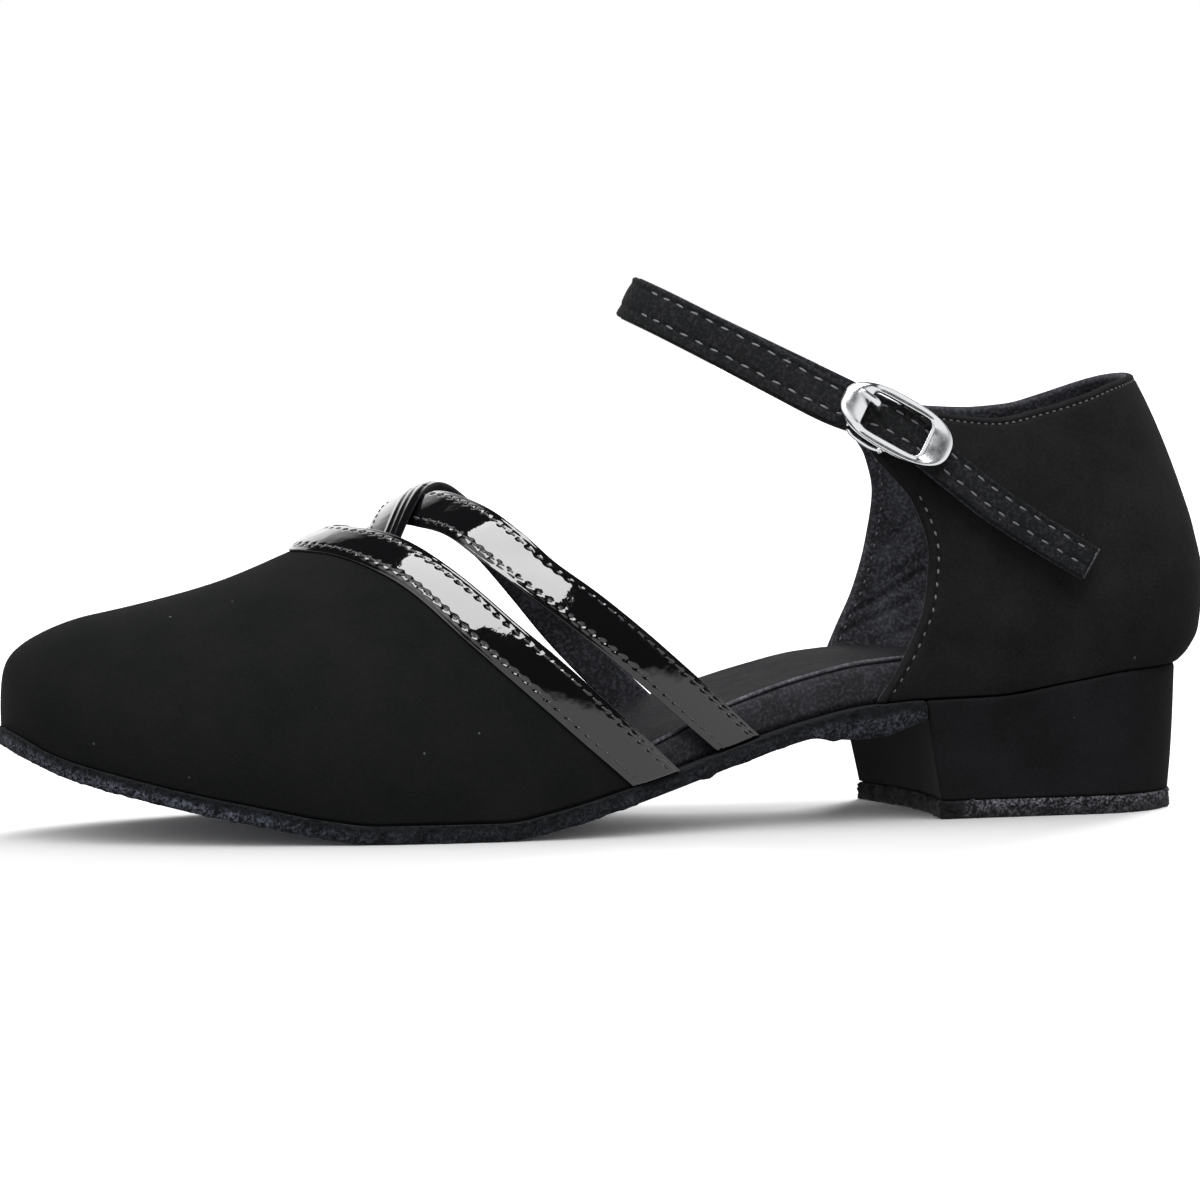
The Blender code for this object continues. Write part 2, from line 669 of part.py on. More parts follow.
def oval(long, wide, square, level, count=48):
    """A rounded oblong in the buckle's frame."""
    angle = np.linspace(0, 2 * np.pi, count, endpoint=False)
    c = np.cos(angle)
    s = np.sin(angle)
    a = long / 2 * np.sign(c) * np.abs(c) ** (2 / square)
    b = wide / 2 * np.sign(s) * np.abs(s) ** (2 / square)
    return [in_buckle(i, j, level) for i, j in zip(a, b)]


def make_buckle():
    bevel = FRAME_BEVEL
    loops = [
        oval(FRAME_LONG, FRAME_WIDE, FRAME_SQUARE, FRAME_LOW),
        oval(FRAME_LONG, FRAME_WIDE, FRAME_SQUARE, FRAME_HIGH - 2 * bevel),
        oval(FRAME_LONG - 2 * bevel, FRAME_WIDE - bevel, FRAME_SQUARE, FRAME_HIGH),
        oval(WINDOW_LONG + bevel, WINDOW_WIDE + bevel, WINDOW_SQUARE, FRAME_HIGH),
        oval(WINDOW_LONG, WINDOW_WIDE, WINDOW_SQUARE, FRAME_HIGH - bevel),
        oval(WINDOW_LONG, WINDOW_WIDE, WINDOW_SQUARE, FRAME_LOW),
    ]
    count = len(loops[0])
    faces = []
    for n, ring in enumerate(loops):
        after = loops[(n + 1) % len(loops)]
        for i in range(count):
            j = (i + 1) % count
            faces.append((ring[i], ring[j], after[j], after[i]))
    frame = finish("buckle_frame", faces)
    bar_low = -FRAME_LOW - BAR_HIGH
    outline = (
        (-POST_OUT, bar_low), (POST_OUT, bar_low), (POST_OUT, POST_TOP), (POST_IN, POST_TOP),
        (POST_IN, -FRAME_LOW), (-POST_IN, -FRAME_LOW), (-POST_IN, POST_TOP), (-POST_OUT, POST_TOP),
    )
    near = [in_buckle(-BAR_WIDE / 2, b, c) for b, c in outline]
    far = [in_buckle(BAR_WIDE / 2, b, c) for b, c in outline]
    walls = [(near[i], near[(i + 1) % 8], far[(i + 1) % 8], far[i]) for i in range(8)]
    bar = finish("buckle_bar", [near, far] + walls)
    bar.hide_render = True
    bar.display_type = "WIRE"
    join = frame.modifiers.new("buckle_bar", "BOOLEAN")
    join.operation = "UNION"
    join.solver = "EXACT"
    join.object = bar
    dress(frame, False)


def make_prong():
    """The buckle's tongue: up through the strap from the bar and on to the frame's front end."""
    over = FRAME_HIGH + GAP + PRONG_RADIUS
    way = np.array([(row.along, over + row.lift) for row in PRONG])
    rings = []
    turn = np.linspace(0, 2 * np.pi, 8, endpoint=False)
    slope = np.gradient(way, axis=0)
    slope /= np.linalg.norm(slope, axis=1, keepdims=True)
    for (a, c), (da, dc) in zip(way, slope):
        ring = []
        for w in turn:
            lift = PRONG_RADIUS * np.sin(w)
            ring.append(in_buckle(a - dc * lift, PRONG_RADIUS * np.cos(w), c + da * lift))
        rings.append(ring)
    faces = [rings[0], rings[-1]]
    for ring, after in zip(rings[:-1], rings[1:]):
        for i in range(8):
            j = (i + 1) % 8
            faces.append((ring[i], ring[j], after[j], after[i]))
    dress(finish("buckle_prong", faces))


def make_tab():
    """The leather tab on the outer ear, under the buckle's bar and the strap's tail."""
    rows = np.linspace(TAB_FRONT, TAB_BACK, 8)
    columns = np.linspace(TAB_HALF, -TAB_HALF, 4)
    spots = np.array([[in_buckle(a, b, 0.0) for b in columns] for a in rows])
    grids = []
    for out in (TAB_LOW, TAB_HIGH):
        grid = spots.copy()
        grid[..., 1] = -(cup_side(LATERAL, spots[..., 0] + SHOE_LENGTH / 2, spots[..., 2]) + out)
        grids.append(grid)
    dress(stack("buckle_tab", grids))


def clear_scene():
    for obj in list(bpy.data.objects):
        bpy.data.objects.remove(obj)


def build():
    clear_scene()
    make_outsole()
    make_insole()
    make_heel()
    make_vamp()
    make_quarter()
    make_band()
    make_rear_strap("strap_lateral", outer_front, outer_rear, False, CROSS_DIP)
    make_rear_strap("strap_medial", inner_front, inner_rear, True, 0.0)
    make_ankle_strap()
    make_buckle()
    make_prong()
    make_tab()


build()
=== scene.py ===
"""Looks of a left block heel dance shoe: nubuck toe and heel cup, patent straps, buckled ankle strap.

Sizes are in millimetres and become metres when a mesh is made. A station is the distance from the toe tip
along the shoe. The toe points to -X, the outer side to -Y, up is +Z and the floor is z = 0.
"""
import math
from collections import namedtuple

import bmesh
import bpy
import numpy as np
from mathutils import Matrix, Vector


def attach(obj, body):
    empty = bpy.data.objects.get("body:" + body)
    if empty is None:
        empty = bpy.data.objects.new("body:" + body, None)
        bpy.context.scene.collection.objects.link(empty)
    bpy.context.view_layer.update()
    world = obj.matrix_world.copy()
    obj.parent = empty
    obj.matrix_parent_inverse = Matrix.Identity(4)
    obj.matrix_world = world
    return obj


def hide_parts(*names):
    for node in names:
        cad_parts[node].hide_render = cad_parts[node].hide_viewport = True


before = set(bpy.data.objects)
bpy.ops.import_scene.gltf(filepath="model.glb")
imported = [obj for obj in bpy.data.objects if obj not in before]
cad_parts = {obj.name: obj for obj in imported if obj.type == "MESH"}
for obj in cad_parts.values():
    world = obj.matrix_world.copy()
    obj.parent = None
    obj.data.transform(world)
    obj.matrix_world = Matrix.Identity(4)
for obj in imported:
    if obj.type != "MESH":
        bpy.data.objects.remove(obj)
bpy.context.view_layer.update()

MM = 0.001
BODY = "root"
SHOE_LENGTH = 247.0
HALF = SHOE_LENGTH / 2
GAP = 0.3
TOUCH = 0.06
WELD = 2e-6

# Sole and last
TOE_TIP_Y = 7.0
FLAT_FROM = 66.0
FLAT_TO = 90.0
SOLE_BACK = 242.0
OUTSOLE_THICK = 3.5
OUTSOLE_EDGE = 0.7
OUTSOLE_STEPS = 640
SOLE_RAGGED = 0.17
SOLE_FIBRE = 0.11
SOLE_FIBRE_LEAST = 0.02
SOLE_BLUNT = 0.7
SOLE_SHARES = (0.0, 0.25, 0.5, 0.75, 0.92)
SOLE_TURNS = 15
SOLE_SEED = 7
SOLE_PASSES = 9
RAGGED_ABOVE = 0.6
RAGGED_RISE = 2.0
RAGGED_FROM = 60.0
RAGGED_EASE = 60.0
FLOOR_CLEAR = 0.01
SOLE_SAG = 0.9
SAG_FROM = 158.0
SAG_LONG = 14.0
BELLY_SAG = 2.1
BELLY_FROM = 154.5
BELLY_TO = 169.0
BELLY_EASE = 10.5
EDGE_STEP = 1.0
NOSE = 18.0
NOSE_LEAD = 1.9
NOSE_ROOT = 6.0
RIDGE_REACH = 0.3
VAMP_WALL = 1.8
CUP_WALL = 2.2
CUP_FRONT = 150.0
EAR_AT = 172.0
EAR_HIGH = 80.0
EAR_OUT = 25.0
CUP_FOLD = 0.10
CUP_FOLD_AT = 0.9
CUP_FOLD_WIDE = 0.45
CUP_LENGTH = 200.0
CUP_HEIGHT = 60.0
INSOLE_INSET = 3.8
INSOLE_SHOULDER = 1.4
SOCK_EDGE = 0.7
SOCK_IN = 0.35
SOCK_LOW = 0.05
SOCK_ROUND = 0.3
INSOLE_STEPS = 260
RAND_SHARES = (0.0, 0.5, 0.9)
RAND_LEVELS = (0.0, 0.2, 0.4, 0.6)
RAND_TURN = 0.62
SOCK_UNDER = (0.0, 0.5, 0.95)
SOCK_SHARES = (0.97, 0.93, 0.85, 0.7, 0.5, 0.25, 0.0)
SOCK_CUT_FROM = 92.0
SOCK_CUT_TO = 212.0
SOCK_CUT_STEPS = 160
SOCK_CUT_IN = 0.25
SOCK_CUT_RADIUS = 0.4
SOCK_CUT_TAPER = 12.0

# Heel
TOP_PIECE_THICK = 3.6
TOP_PIECE_SPREAD = 1.012
BREAST_HOLLOW = 3.0
BREAST_SKEW = 0.45
TOP_RAGGED = 0.22
TOP_FIBRE = 0.13
TOP_SEED = 40
TOP_PASSES = 6
TOP_LEVELS = (0.06, 0.94, 9)
TOP_SHARES = (0.0, 0.5, 0.9, 0.985)
# Painted shade on the top piece: darker towards the floor, and at its front under the heel's breast
TOP_SHADE = 0.7
TOP_SHADE_HIGH = 2.8
TOP_SHADE_FADE = 1.6
TOP_SHADE_BEHIND = 4.0
TOP_SHADE_EASE = 3.0
HEEL_UNDER = (0.0, 0.5, 0.9, 0.975)
HEEL_RISES = (0.012, 0.03, 0.1, 0.25, 0.4, 0.55, 0.7, 0.82, 0.92, 0.965)
HEEL_OVER = ((0.994, 0.25), (0.982, 0.12), (0.9, 0.1), (0.5, 0.1), (0.0, 0.1))

# Bands and straps: sizes, the dip under the crossing, and the ankle strap's two layers
BAND_THICK = 1.3
BAND_WIDE = 9.6
STRAP_THICK = 1.3
STRAP_WIDE = 9.2
PATENT_STEP = 0.26
STRAP_SINK = 0.2
STRAP_END = 0.64
STRAP_LEAST = 1.2
EDGE_CLEAR = 0.7
CROSS_DIP = 1.65
CROSS_HALF = 0.085
CROSS_EASE = 0.10
ANKLE_UPPER = 1.25
ANKLE_LIFT = 0.275
ANKLE_END = 0.5
ANKLE_LINING = 0.5
LINING_LIFT = -0.62
ANKLE_AFT = 0.42
ANKLE_UP = 0.90
ANKLE_STEPS = 620
ANKLE_ROWS = (8.6, 0.6, 0.3)
ANKLE_SUNK = 0.1
ANKLE_CROWN = 0.14
ANKLE_CROWN_FROM = 1.75
ANKLE_CROWN_EASE = 2.0
UPPER_SHARE = 0.98
LINING_SHARE = 1.02
TAIL_BARE = 1.2
TAIL_CUT_HALF = 0.47
TAIL_CUT_RADIUS = 0.32

# Sewn lines
THREAD_SLANT = 0.07
ANKLE_BARE = 6.0
EAR_BARE = 20.0
EDGE_FINE = 6
SEAM_STEP = 0.22

# Patent: its rolled rim, the line beside it, the tilts that turn its gloss, and its pleats
PATENT_RIM = 1.5
PATENT_CROWN = 0.09
ROLL_DEEP = 0.5
ROLL_WIDE = 1.95
LINE_IN = 0.8
LINE_WIDE = 0.2
LINE_DEEP = 0.11
BAND_TILT = 0.084
FOOT_TILT = 0.049
KNOT_TILT = 0.19
KNOT_BACK = -0.14
KNOT_FROM = 0.2
KNOT_EASE = 0.1
BACK_FROM = 0.237
BACK_EASE = 0.055
PLEATS = (1.0, 2.5, 4.0)
PLEAT_FROM = 0.31
PLEAT_EASE = 0.06
PLEAT_HIGH = 0.42
PLEAT_WIDE = 0.5

# Buckle, in its own frame: along the strap, across it, and out from it
BUCKLE_AT = (172.1, -30.4, 78.5)
BUCKLE_ALONG = (25.0, -2.0, -13.8)
BUCKLE_LEAN = 0.15
FRAME_LONG = 24.5
FRAME_WIDE = 11.8
WINDOW_LONG = 13.4
WINDOW_WIDE = 8.2
FRAME_LOW = 1.2
FRAME_HIGH = 2.9
FRAME_SQUARE = 2.5
WINDOW_SQUARE = 8.0
FRAME_BLUNT = 0.62
FRAME_TURNS = 193
FRAME_LAPS = 41
FRONT_FROM = 0.35
FRONT_EASE = 0.4
FRONT_DOME = 0.55
REAR_FROM = 0.45
REAR_EASE = 0.3
REAR_FACET = 0.95
FACET_EASE = 0.14
RAIL_DISH = 0.5
BAR_RADIUS = 0.75
POST_AT = 5.25
POST_BEND = 0.6
POST_TOP = 1.9
POST_CORNER = 0.18
BAR_SIDES = 14
LOOP_RADIUS = 0.42
LOOP_SIDES = 12
LOOP_STEPS = 40
FRAME_LOOP = ((-8.8, -3.8, 1.2), (-8.4, -4.7, 0.2), (-7.2, -5.4, -0.4), (-4.5, -5.9, -0.6), (-2.0, -6.0, -0.6),
              (0.0, -5.6, -0.6))
PRONG_ASIDE = 1.1
PRONG_SLANT = 0.15
PRONG_ROOT = 4
PRONG_CLEAR = 0.62
PRONG_LIFT = 0.7
PRONG_STEPS = 33
TAB_FRONT = -2.4
TAB_BACK = 13.0
TAB_HALF = 3.2
TAB_LOW = 0.35
TAB_HIGH = 1.35

# Camera and light
VIEW_TURN = 15.2
VIEW_RISE = 2.85
VIEW_ROLL = 0.4
VIEW_FAR = 1000.0
VIEW_AT = (-3.1, 0.0, 43.8)
LENS = 149.94
FILM_WIDE = 36.0
SOFTBOX_TURN = -24
SOFTBOX_RISE = 67
FLOOR_HALF = 30.0


def table(columns, *rows):
    """Rows of values under named columns."""
    row = namedtuple("Row", columns)
    return [row(*values) for values in rows]


LATERAL, MEDIAL = table(
    "sign ball_at ball waist_at waist seat_at seat",
    (-1, 98.0, 42.0, 158.0, 29.0, 214.0, 28.0), (1, 82.0, 42.0, 148.0, 25.5, 214.0, 28.0),
)

# Folds beside the ankle strap's edges: which edge, how far in, their half width and height
ANKLE_FOLDS = table(
    "border inside wide high",
    ("low", 0.55, 0.22, 0.12), ("high", 0.5, 0.2, 0.12), ("high", 1.15, 0.22, 0.1),
)

# Sewn lines: pitch, distance from the edge, a thread's length, width and height, depth of groove and holes
PATENT_SEAM, ANKLE_LOW_SEAM, ANKLE_HIGH_SEAM, COLLAR_SEAM, EAR_SEAM, LINING_SEAM = table(
    "pitch inside thread groove hole",
    (2.6, 1.75, (1.75, 0.5, 0.4), 0.12, 0.34),
    (3.55, 1.45, (2.0, 0.5, 0.42), 0.12, 0.14),
    (3.55, 2.45, (2.0, 0.5, 0.42), 0.12, 0.14),
    (1.5, 1.5, (0.85, 0.5, 0.44), 0.20, 0.2),
    (2.6, 1.9, (1.1, 0.55, 0.5), 0.3, 0.3),
    (2.6, 1.9, (1.1, 0.45, 0.36), 0.0, 0.0),
)

TREAD = table(
    "station height",
    (0, 18.2), (9, 12.8), (20, 9.4), (32, 6.3), (45, 3.5), (56, 1.2), (FLAT_FROM, 0), (FLAT_TO, 0),
    (101, 2.0), (111, 4.5), (126, 8.6), (141, 13.0), (155, 16.9), (168, 19.6), (180, 20.5), (195, 20.9),
    (210, 23.1), (225, 25.3), (242, 26.0),
)

INSOLE = table(
    "station thick",
    (0, 2.6), (80, 3.2), (112, 5.0), (142, 8.2), (176, 8.4), (205, 6.2), (242, 5.0),
)

# Painted shade darkening the sole's edge: its share along the shoe, then its bounds at the top and the foot of
# the edge
EDGE_SHADE = table("share start ease", (0.8, 30.0, 40.0), (-0.25, 148.0, 14.0))
EDGE_SHADE_TOP = 0.35
EDGE_SHADE_TOP_EASE = 0.4
EDGE_SHADE_FOOT = 0.9
EDGE_SHADE_UNDER = 0.1
EDGE_SHADE_FOOT_EASE = 0.3

# Sections of the fore part: height and place of the ridge, fullness of side and top, swell of the side
SECTIONS = table(
    "station height ridge side top swell",
    (0, 39.5, 6.0, 0.60, 0.62, 3.0),
    (12, 41.4, 6.0, 0.60, 0.62, 3.0),
    (28, 44.5, 6.0, 0.60, 0.60, 3.6),
    (44, 48.6, 6.0, 0.58, 0.56, 3.6),
    (60, 55.0, 5.5, 0.55, 0.50, 3.0),
    (70, 59.2, 5.0, 0.54, 0.48, 2.0),
    (80, 64.9, 4.5, 0.52, 0.46, 1.5),
    (90, 69.6, 4.0, 0.51, 0.44, 0.5),
    (105, 76.0, 3.5, 0.50, 0.42, 0.0),
    (130, 88.0, 2.5, 0.48, 0.40, 0.0),
    (165, 99.0, 1.0, 0.48, 0.40, 0.0),
)

# The front band's two edges; around is 0 at the outer sole edge and 0.5 on the ridge
BAND = table(
    "around front rear",
    (0.0, 116.4, 126.1), (0.06, 105.3, 115.3), (0.12, 95.2, 105.4), (0.2, 83.2, 93.4), (0.3, 73.1, 81.7),
    (0.4, 64.1, 73.2), (0.45, 60.2, 69.6), (0.5, 58.4, 67.8),
)

# Edges of the rear straps, each from its own sole edge over the ridge to behind the band
STRAP = table(
    "around outer_front outer_rear inner_front inner_rear",
    (0.0, 136.0, 145.4, 135.5, 143.6), (0.06, 124.6, 134.6, 125.6, 133.4),
    (0.12, 113.9, 124.0, 116.6, 124.2), (0.18, 104.0, 114.1, 109.0, 116.4),
    (0.24, 95.2, 105.2, 101.8, 109.6), (0.30, 88.7, 98.4, 94.4, 102.6), (0.36, 83.8, 93.4, 87.4, 96.5),
    (0.42, 79.2, 89.4, 81.4, 91.6), (0.5, 74.4, 84.8, 75.4, 85.8), (0.58, 69.8, 79.6, 70.4, 80.2),
    (0.66, 64.4, 73.6, 64.8, 74.0),
)

# The heel cup going up from the seat: station of its back, and how far its sides stand out
LEVELS = table(
    "height back spread",
    (0, 241.4, 0.98), (2.5, 244.0, 1.01), (7, 246.2, 1.04), (17, 247.0, 1.07), (27, 245.1, 1.06),
    (36, 242.2, 1.03), (46, 238.4, 0.98), (54, 234.8, 0.93), (60, 231.6, 0.89), (66, 228.0, 0.86),
)

COLLAR = table(
    "station lateral medial",
    (160, 83.2, 84.2), (172, 82.5, 83.7), (184, 81.0, 82.8), (195, 79.9, 82.1), (206, 82.0, 81.6),
    (215, 84.5, 82.3), (222, 86.8, 84.4), (232, 88.9, 88.9),
)

FRONT = table(
    "height lateral medial",
    (22, 169.0, 171.5), (34, 175.6, 177.4), (44, 179.2, 182.1), (54, 180.1, 184.8), (64, 177.2, 186.0),
    (72, 170.4, 184.0), (78, 166.2, 179.5), (86, 164.5, 175.0),
)

HEEL = table(
    "rise breast back spread",
    (0.0, 183.6, 239.6, 0.92), (0.3, 182.4, 240.3, 0.94), (0.7, 180.8, 240.8, 0.97),
    (1.0, 179.8, 241.0, 1.0),
)

# The ankle strap's middle line: its sewn end beside the cup, its loop round the front, and its outer side,
# past the buckle to the end of its tail
LOOP_FRONT = 127.2
LOOP_HIGH = 104.0
LOOP_FALL = 0.465
LOOP_TIP = 0.14
LOOP_LEAN = -0.13
LOOP_WIDE = 8.8
SEWN = table("station off_cup", (201, 1.5), (191, 1.5), (181, 1.9))
LOOP = table("station out", (161, 24.5), (142, 19.5), (130.8, 10.5), (127.2, 0.0), (131.0, -10.5))
OUTER = table(
    "station out height lean wide",
    (140.5, -19.0, 94.8, -0.10, 8.8), (150.5, -24.8, 88.8, -0.02, 8.8), (160.5, -29.2, 83.0, 0.12, 8.5),
    (172.1, -30.4, 78.7, 0.15, 8.4), (185.5, -31.2, 68.5, 0.15, 7.5), (192, -31.4, 63.5, 0.14, 7.5),
    (199, -31.6, 58.9, 0.12, 7.4), (212.5, -32.6, 50.7, 0.06, 7.2),
)

# The prong's middle line in the buckle's frame; lift is counted from where it lies on the frame
PRONG = table(
    "along lift radius",
    (-3.9, -4.35, 0.8), (-4.3, -3.4, 0.8), (-4.8, -1.9, 0.8), (-5.7, -0.5, 0.78), (-6.8, 0.0, 0.72),
    (-9.0, 0.0, 0.62), (-9.8, -0.05, 0.4), (-10.0, -0.1, 0.05),
)


# Plain curves

def smooth(k):
    """An easy step from 0 to 1."""
    k = np.clip(k, 0.0, 1.0)
    return k * k * (3.0 - 2.0 * k)


def hump(x, wide):
    """A soft ridge of height 1 about zero."""
    return np.exp(-(np.asarray(x) / wide) ** 2)


def round_end(k, lead=2.2, root=2.0):
    """Closing of a rounded end, from 0 at its tip to 1 where it has its full size."""
    k = np.clip(k, 0.0, 1.0)
    return (1.0 - (1.0 - k) ** lead) ** (1.0 / root)


def round_edge(away, radius):
    """Half thickness of a rounded edge, from 0 on the edge to 1 at its radius."""
    k = np.clip(away / radius, 0.0, 1.0)
    return np.sqrt(1.0 - (1.0 - k) ** 2)


def power(x, exponent):
    """A power that keeps the sign."""
    return np.sign(x) * np.abs(x) ** exponent


def unit(ways):
    """Directions of length one."""
    return ways / np.linalg.norm(ways, axis=-1, keepdims=True)


def square_to(way, guide):
    """The direction nearest to a guide that is square to a way."""
    return unit(guide - (guide * way).sum(axis=-1, keepdims=True) * way)


def run_of(spots):
    """Distance along a line of spots to each of them."""
    return np.concatenate([[0.0], np.cumsum(np.linalg.norm(np.diff(spots, axis=0), axis=1))])


def between(x, xs, spots):
    """A line of spots read at other places along it."""
    return np.stack([np.interp(x, xs, spots[:, c]) for c in range(spots.shape[1])], -1)


def hermite(k, step, first, last, first_slope, last_slope):
    """A smooth way from one value to the next, with the slope at each."""
    start = (1 + 2 * k) * (1 - k) ** 2 * first + k * (1 - k) ** 2 * step * first_slope
    stop = k * k * (3 - 2 * k) * last + k * k * (k - 1) * step * last_slope
    return start + stop


def curve(xs, ys):
    """A smooth line through table rows that never swings past them."""
    xs = np.asarray(xs, float)
    ys = np.asarray(ys, float)
    step = np.diff(xs)
    rise = np.diff(ys) / step
    slope = np.zeros_like(xs)
    slope[0], slope[-1] = rise[0], rise[-1]
    for i in range(1, len(xs) - 1):
        if rise[i - 1] * rise[i] > 0:
            w1 = 2 * step[i] + step[i - 1]
            w2 = step[i] + 2 * step[i - 1]
            slope[i] = (w1 + w2) / (w1 / rise[i - 1] + w2 / rise[i])

    def at(x):
        x = np.clip(np.asarray(x, float), xs[0], xs[-1])
        i = np.clip(np.searchsorted(xs, x, side="right") - 1, 0, len(xs) - 2)
        k = (x - xs[i]) / step[i]
        return hermite(k, step[i], ys[i], ys[i + 1], slope[i], slope[i + 1])

    return at


def lines(rows):
    """Each further column of a table as a smooth line over its first column."""
    xs, *others = zip(*rows)
    return [curve(xs, ys) for ys in others]


def mirrored(rows):
    """Lines that run from the outer sole edge to the ridge, and back down the inner side."""
    xs, *others = zip(*rows)
    back = tuple(1 - x for x in xs[-2::-1])
    return [curve(xs + back, ys + ys[-2::-1]) for ys in others]


tread, = lines(TREAD)
pad, = lines(INSOLE)
ridge_high, ridge_y, side_full, top_full, swell = lines(SECTIONS)
band_front, band_rear = mirrored(BAND)
outer_front, outer_rear, inner_front, inner_rear = lines(STRAP)
level_back, level_spread = lines(LEVELS)
collar_lateral, collar_medial = lines(COLLAR)
front_lateral, front_medial = lines(FRONT)
heel_breast, heel_back, heel_spread = lines(HEEL)


# The last: sole outline, fore part and heel cup

def seat(t):
    """Height of the outsole's upper face and of the heel seat."""
    return tread(t) + OUTSOLE_THICK


def sole_under(t):
    """Height of the outsole's under face, which hangs a little lower towards the heel's breast."""
    belly = smooth((t - BELLY_FROM) / BELLY_EASE) * (1 - smooth((t - BELLY_TO) / BELLY_EASE))
    return tread(t) - SOLE_SAG * smooth((t - SAG_FROM) / SAG_LONG) - BELLY_SAG * belly


def half_width(side, t, inset=0.0):
    """How far the sole's edge lies out from the middle line on one side, drawn in by an inset."""
    tip = TOE_TIP_Y * side.sign
    toe = tip + (side.ball - inset - tip) * round_end((t - inset) / (side.ball_at - inset))
    fore = smooth((t - side.ball_at) / (side.waist_at - side.ball_at))
    mid = side.ball + (side.waist - side.ball) * fore - inset
    aft = smooth((t - side.waist_at) / (side.seat_at - side.waist_at))
    rear = side.waist + (side.seat - side.waist) * aft - inset
    end = SOLE_BACK - inset
    heel = (side.seat - inset) * round_end((end - t) / (end - side.seat_at))
    out = np.where(t < side.ball_at, toe, mid)
    out = np.where(t > side.waist_at, rear, out)
    return np.where(t > side.seat_at, heel, out)


def bezier(p0, p1, p2, p3, w):
    """A cubic between two ends."""
    v = 1 - w
    return p0 * v ** 3 + 3 * p1 * v * v * w + 3 * p2 * v * w * w + p3 * w ** 3


def skin(t, around):
    """Outer face of the fore part; around runs from the outer sole edge over the ridge to the inner one."""
    t, around = np.broadcast_arrays(t, around)
    low = seat(t) + TOUCH
    nose = round_end((t - EDGE_STEP) / NOSE, NOSE_LEAD, NOSE_ROOT)
    rise = (ridge_high(t) - low) * nose
    left = -half_width(LATERAL, t, EDGE_STEP)
    right = half_width(MEDIAL, t, EDGE_STEP)
    middle = 0.5 * (left + right)
    reach = RIDGE_REACH * (right - left)
    ridge = np.clip(ridge_y(t), middle - reach, middle + reach)
    outer = around < 0.5
    edge = np.where(outer, left, right)
    w = np.where(outer, 2 * around, 2 - 2 * around)
    bulge = np.where(outer, -1.0, 1.0) * swell(t) * nose
    y = bezier(edge, edge + bulge, ridge + (edge - ridge) * top_full(t), ridge, w)
    z = low + bezier(0.0, rise * side_full(t), rise, rise, w)
    return np.stack([t - HALF, y, z], -1)


def vamp_edge(around):
    """Station where the toe part ends, under the middle of the band."""
    return 0.5 * (band_front(around) + band_rear(around)) - 0.6


def cup_side(side, t, z):
    """How far the heel cup's outer face lies out from the middle line at a station and height."""
    h = z - seat(t)
    scale = (level_back(h) - CUP_FRONT) / (SOLE_BACK - EDGE_STEP - CUP_FRONT)
    base = CUP_FRONT + (t - CUP_FRONT) / scale
    return half_width(side, base, EDGE_STEP) * level_spread(h)


def cup_line(side):
    """Plan line of the heel cup at the seat, as distances from the back, stations and widths."""
    end = SOLE_BACK - EDGE_STEP
    t = end - (end - CUP_FRONT) * np.linspace(0, 1, 900) ** 2
    y = half_width(side, t, EDGE_STEP)
    run = np.concatenate([[0.0], np.cumsum(np.hypot(np.diff(t), np.diff(y)))])
    return run, t, y


def cup_skin(up, share):
    """Outer face of the heel cup; share runs from the inner front edge round the back to the outer one."""
    up, share = np.broadcast_arrays(up, share)
    spots = np.zeros(up.shape + (3,))
    sides = (MEDIAL, front_medial, collar_medial), (LATERAL, front_lateral, collar_lateral)
    for side, front, collar in sides:
        here = share < 0 if side is MEDIAL else share >= 0
        u = up[here]
        s = np.abs(share[here])
        run, stations, widths = cup_line(side)
        low = seat(EAR_AT) + TOUCH
        edge_z = low + u * (collar(front(EAR_HIGH)) - low)
        t = np.full_like(u, SOLE_BACK)
        for _ in range(12):
            height = seat(t) + TOUCH + u * (collar(t) - seat(t) - TOUCH)
            rise = height - seat(t)
            scale = (level_back(rise) - CUP_FRONT) / (stations[0] - CUP_FRONT)
            first = CUP_FRONT + (front(edge_z) - CUP_FRONT) / scale
            reach = np.interp(-first, -stations, run)
            base = np.interp(s * reach, run, stations)
            t = CUP_FRONT + (base - CUP_FRONT) * scale
        y = side.sign * np.interp(s * reach, run, widths) * level_spread(rise)
        spots[here] = np.stack([t - HALF, y, height], -1)
    return spots


# Meshes from grids

Reach = namedtuple("Reach", "low high start stop sides ends")
Sheet = namedtuple("Sheet", "face normal reach back")


def grid_normals(spots, us, vs):
    """Outward directions of a grid of spots."""
    along = np.gradient(spots, us, axis=0)
    across = np.gradient(spots, vs, axis=1)
    normal = np.cross(along, across)
    size = np.linalg.norm(normal, axis=-1, keepdims=True)
    normal = normal / np.maximum(size, 1e-12)
    for row in (0, -1):
        if np.ptp(spots[row], axis=0).max() < 1e-6:
            mean = normal[1 if row == 0 else -2].mean(axis=0)
            normal[row] = unit(mean)
    return normal


def reach_of(spots):
    """Millimetres from each spot of a grid to its four borders, and to the nearer of each two."""
    rows = np.linalg.norm(np.diff(spots, axis=0), axis=-1)
    low = np.concatenate([np.zeros_like(rows[:1]), np.cumsum(rows, axis=0)])
    columns = np.linalg.norm(np.diff(spots, axis=1), axis=-1)
    start = np.concatenate([np.zeros_like(columns[:, :1]), np.cumsum(columns, axis=1)], axis=1)
    high = low[-1:] - low
    stop = start[:, -1:] - start
    return Reach(low, high, start, stop, np.minimum(low, high), np.minimum(start, stop))


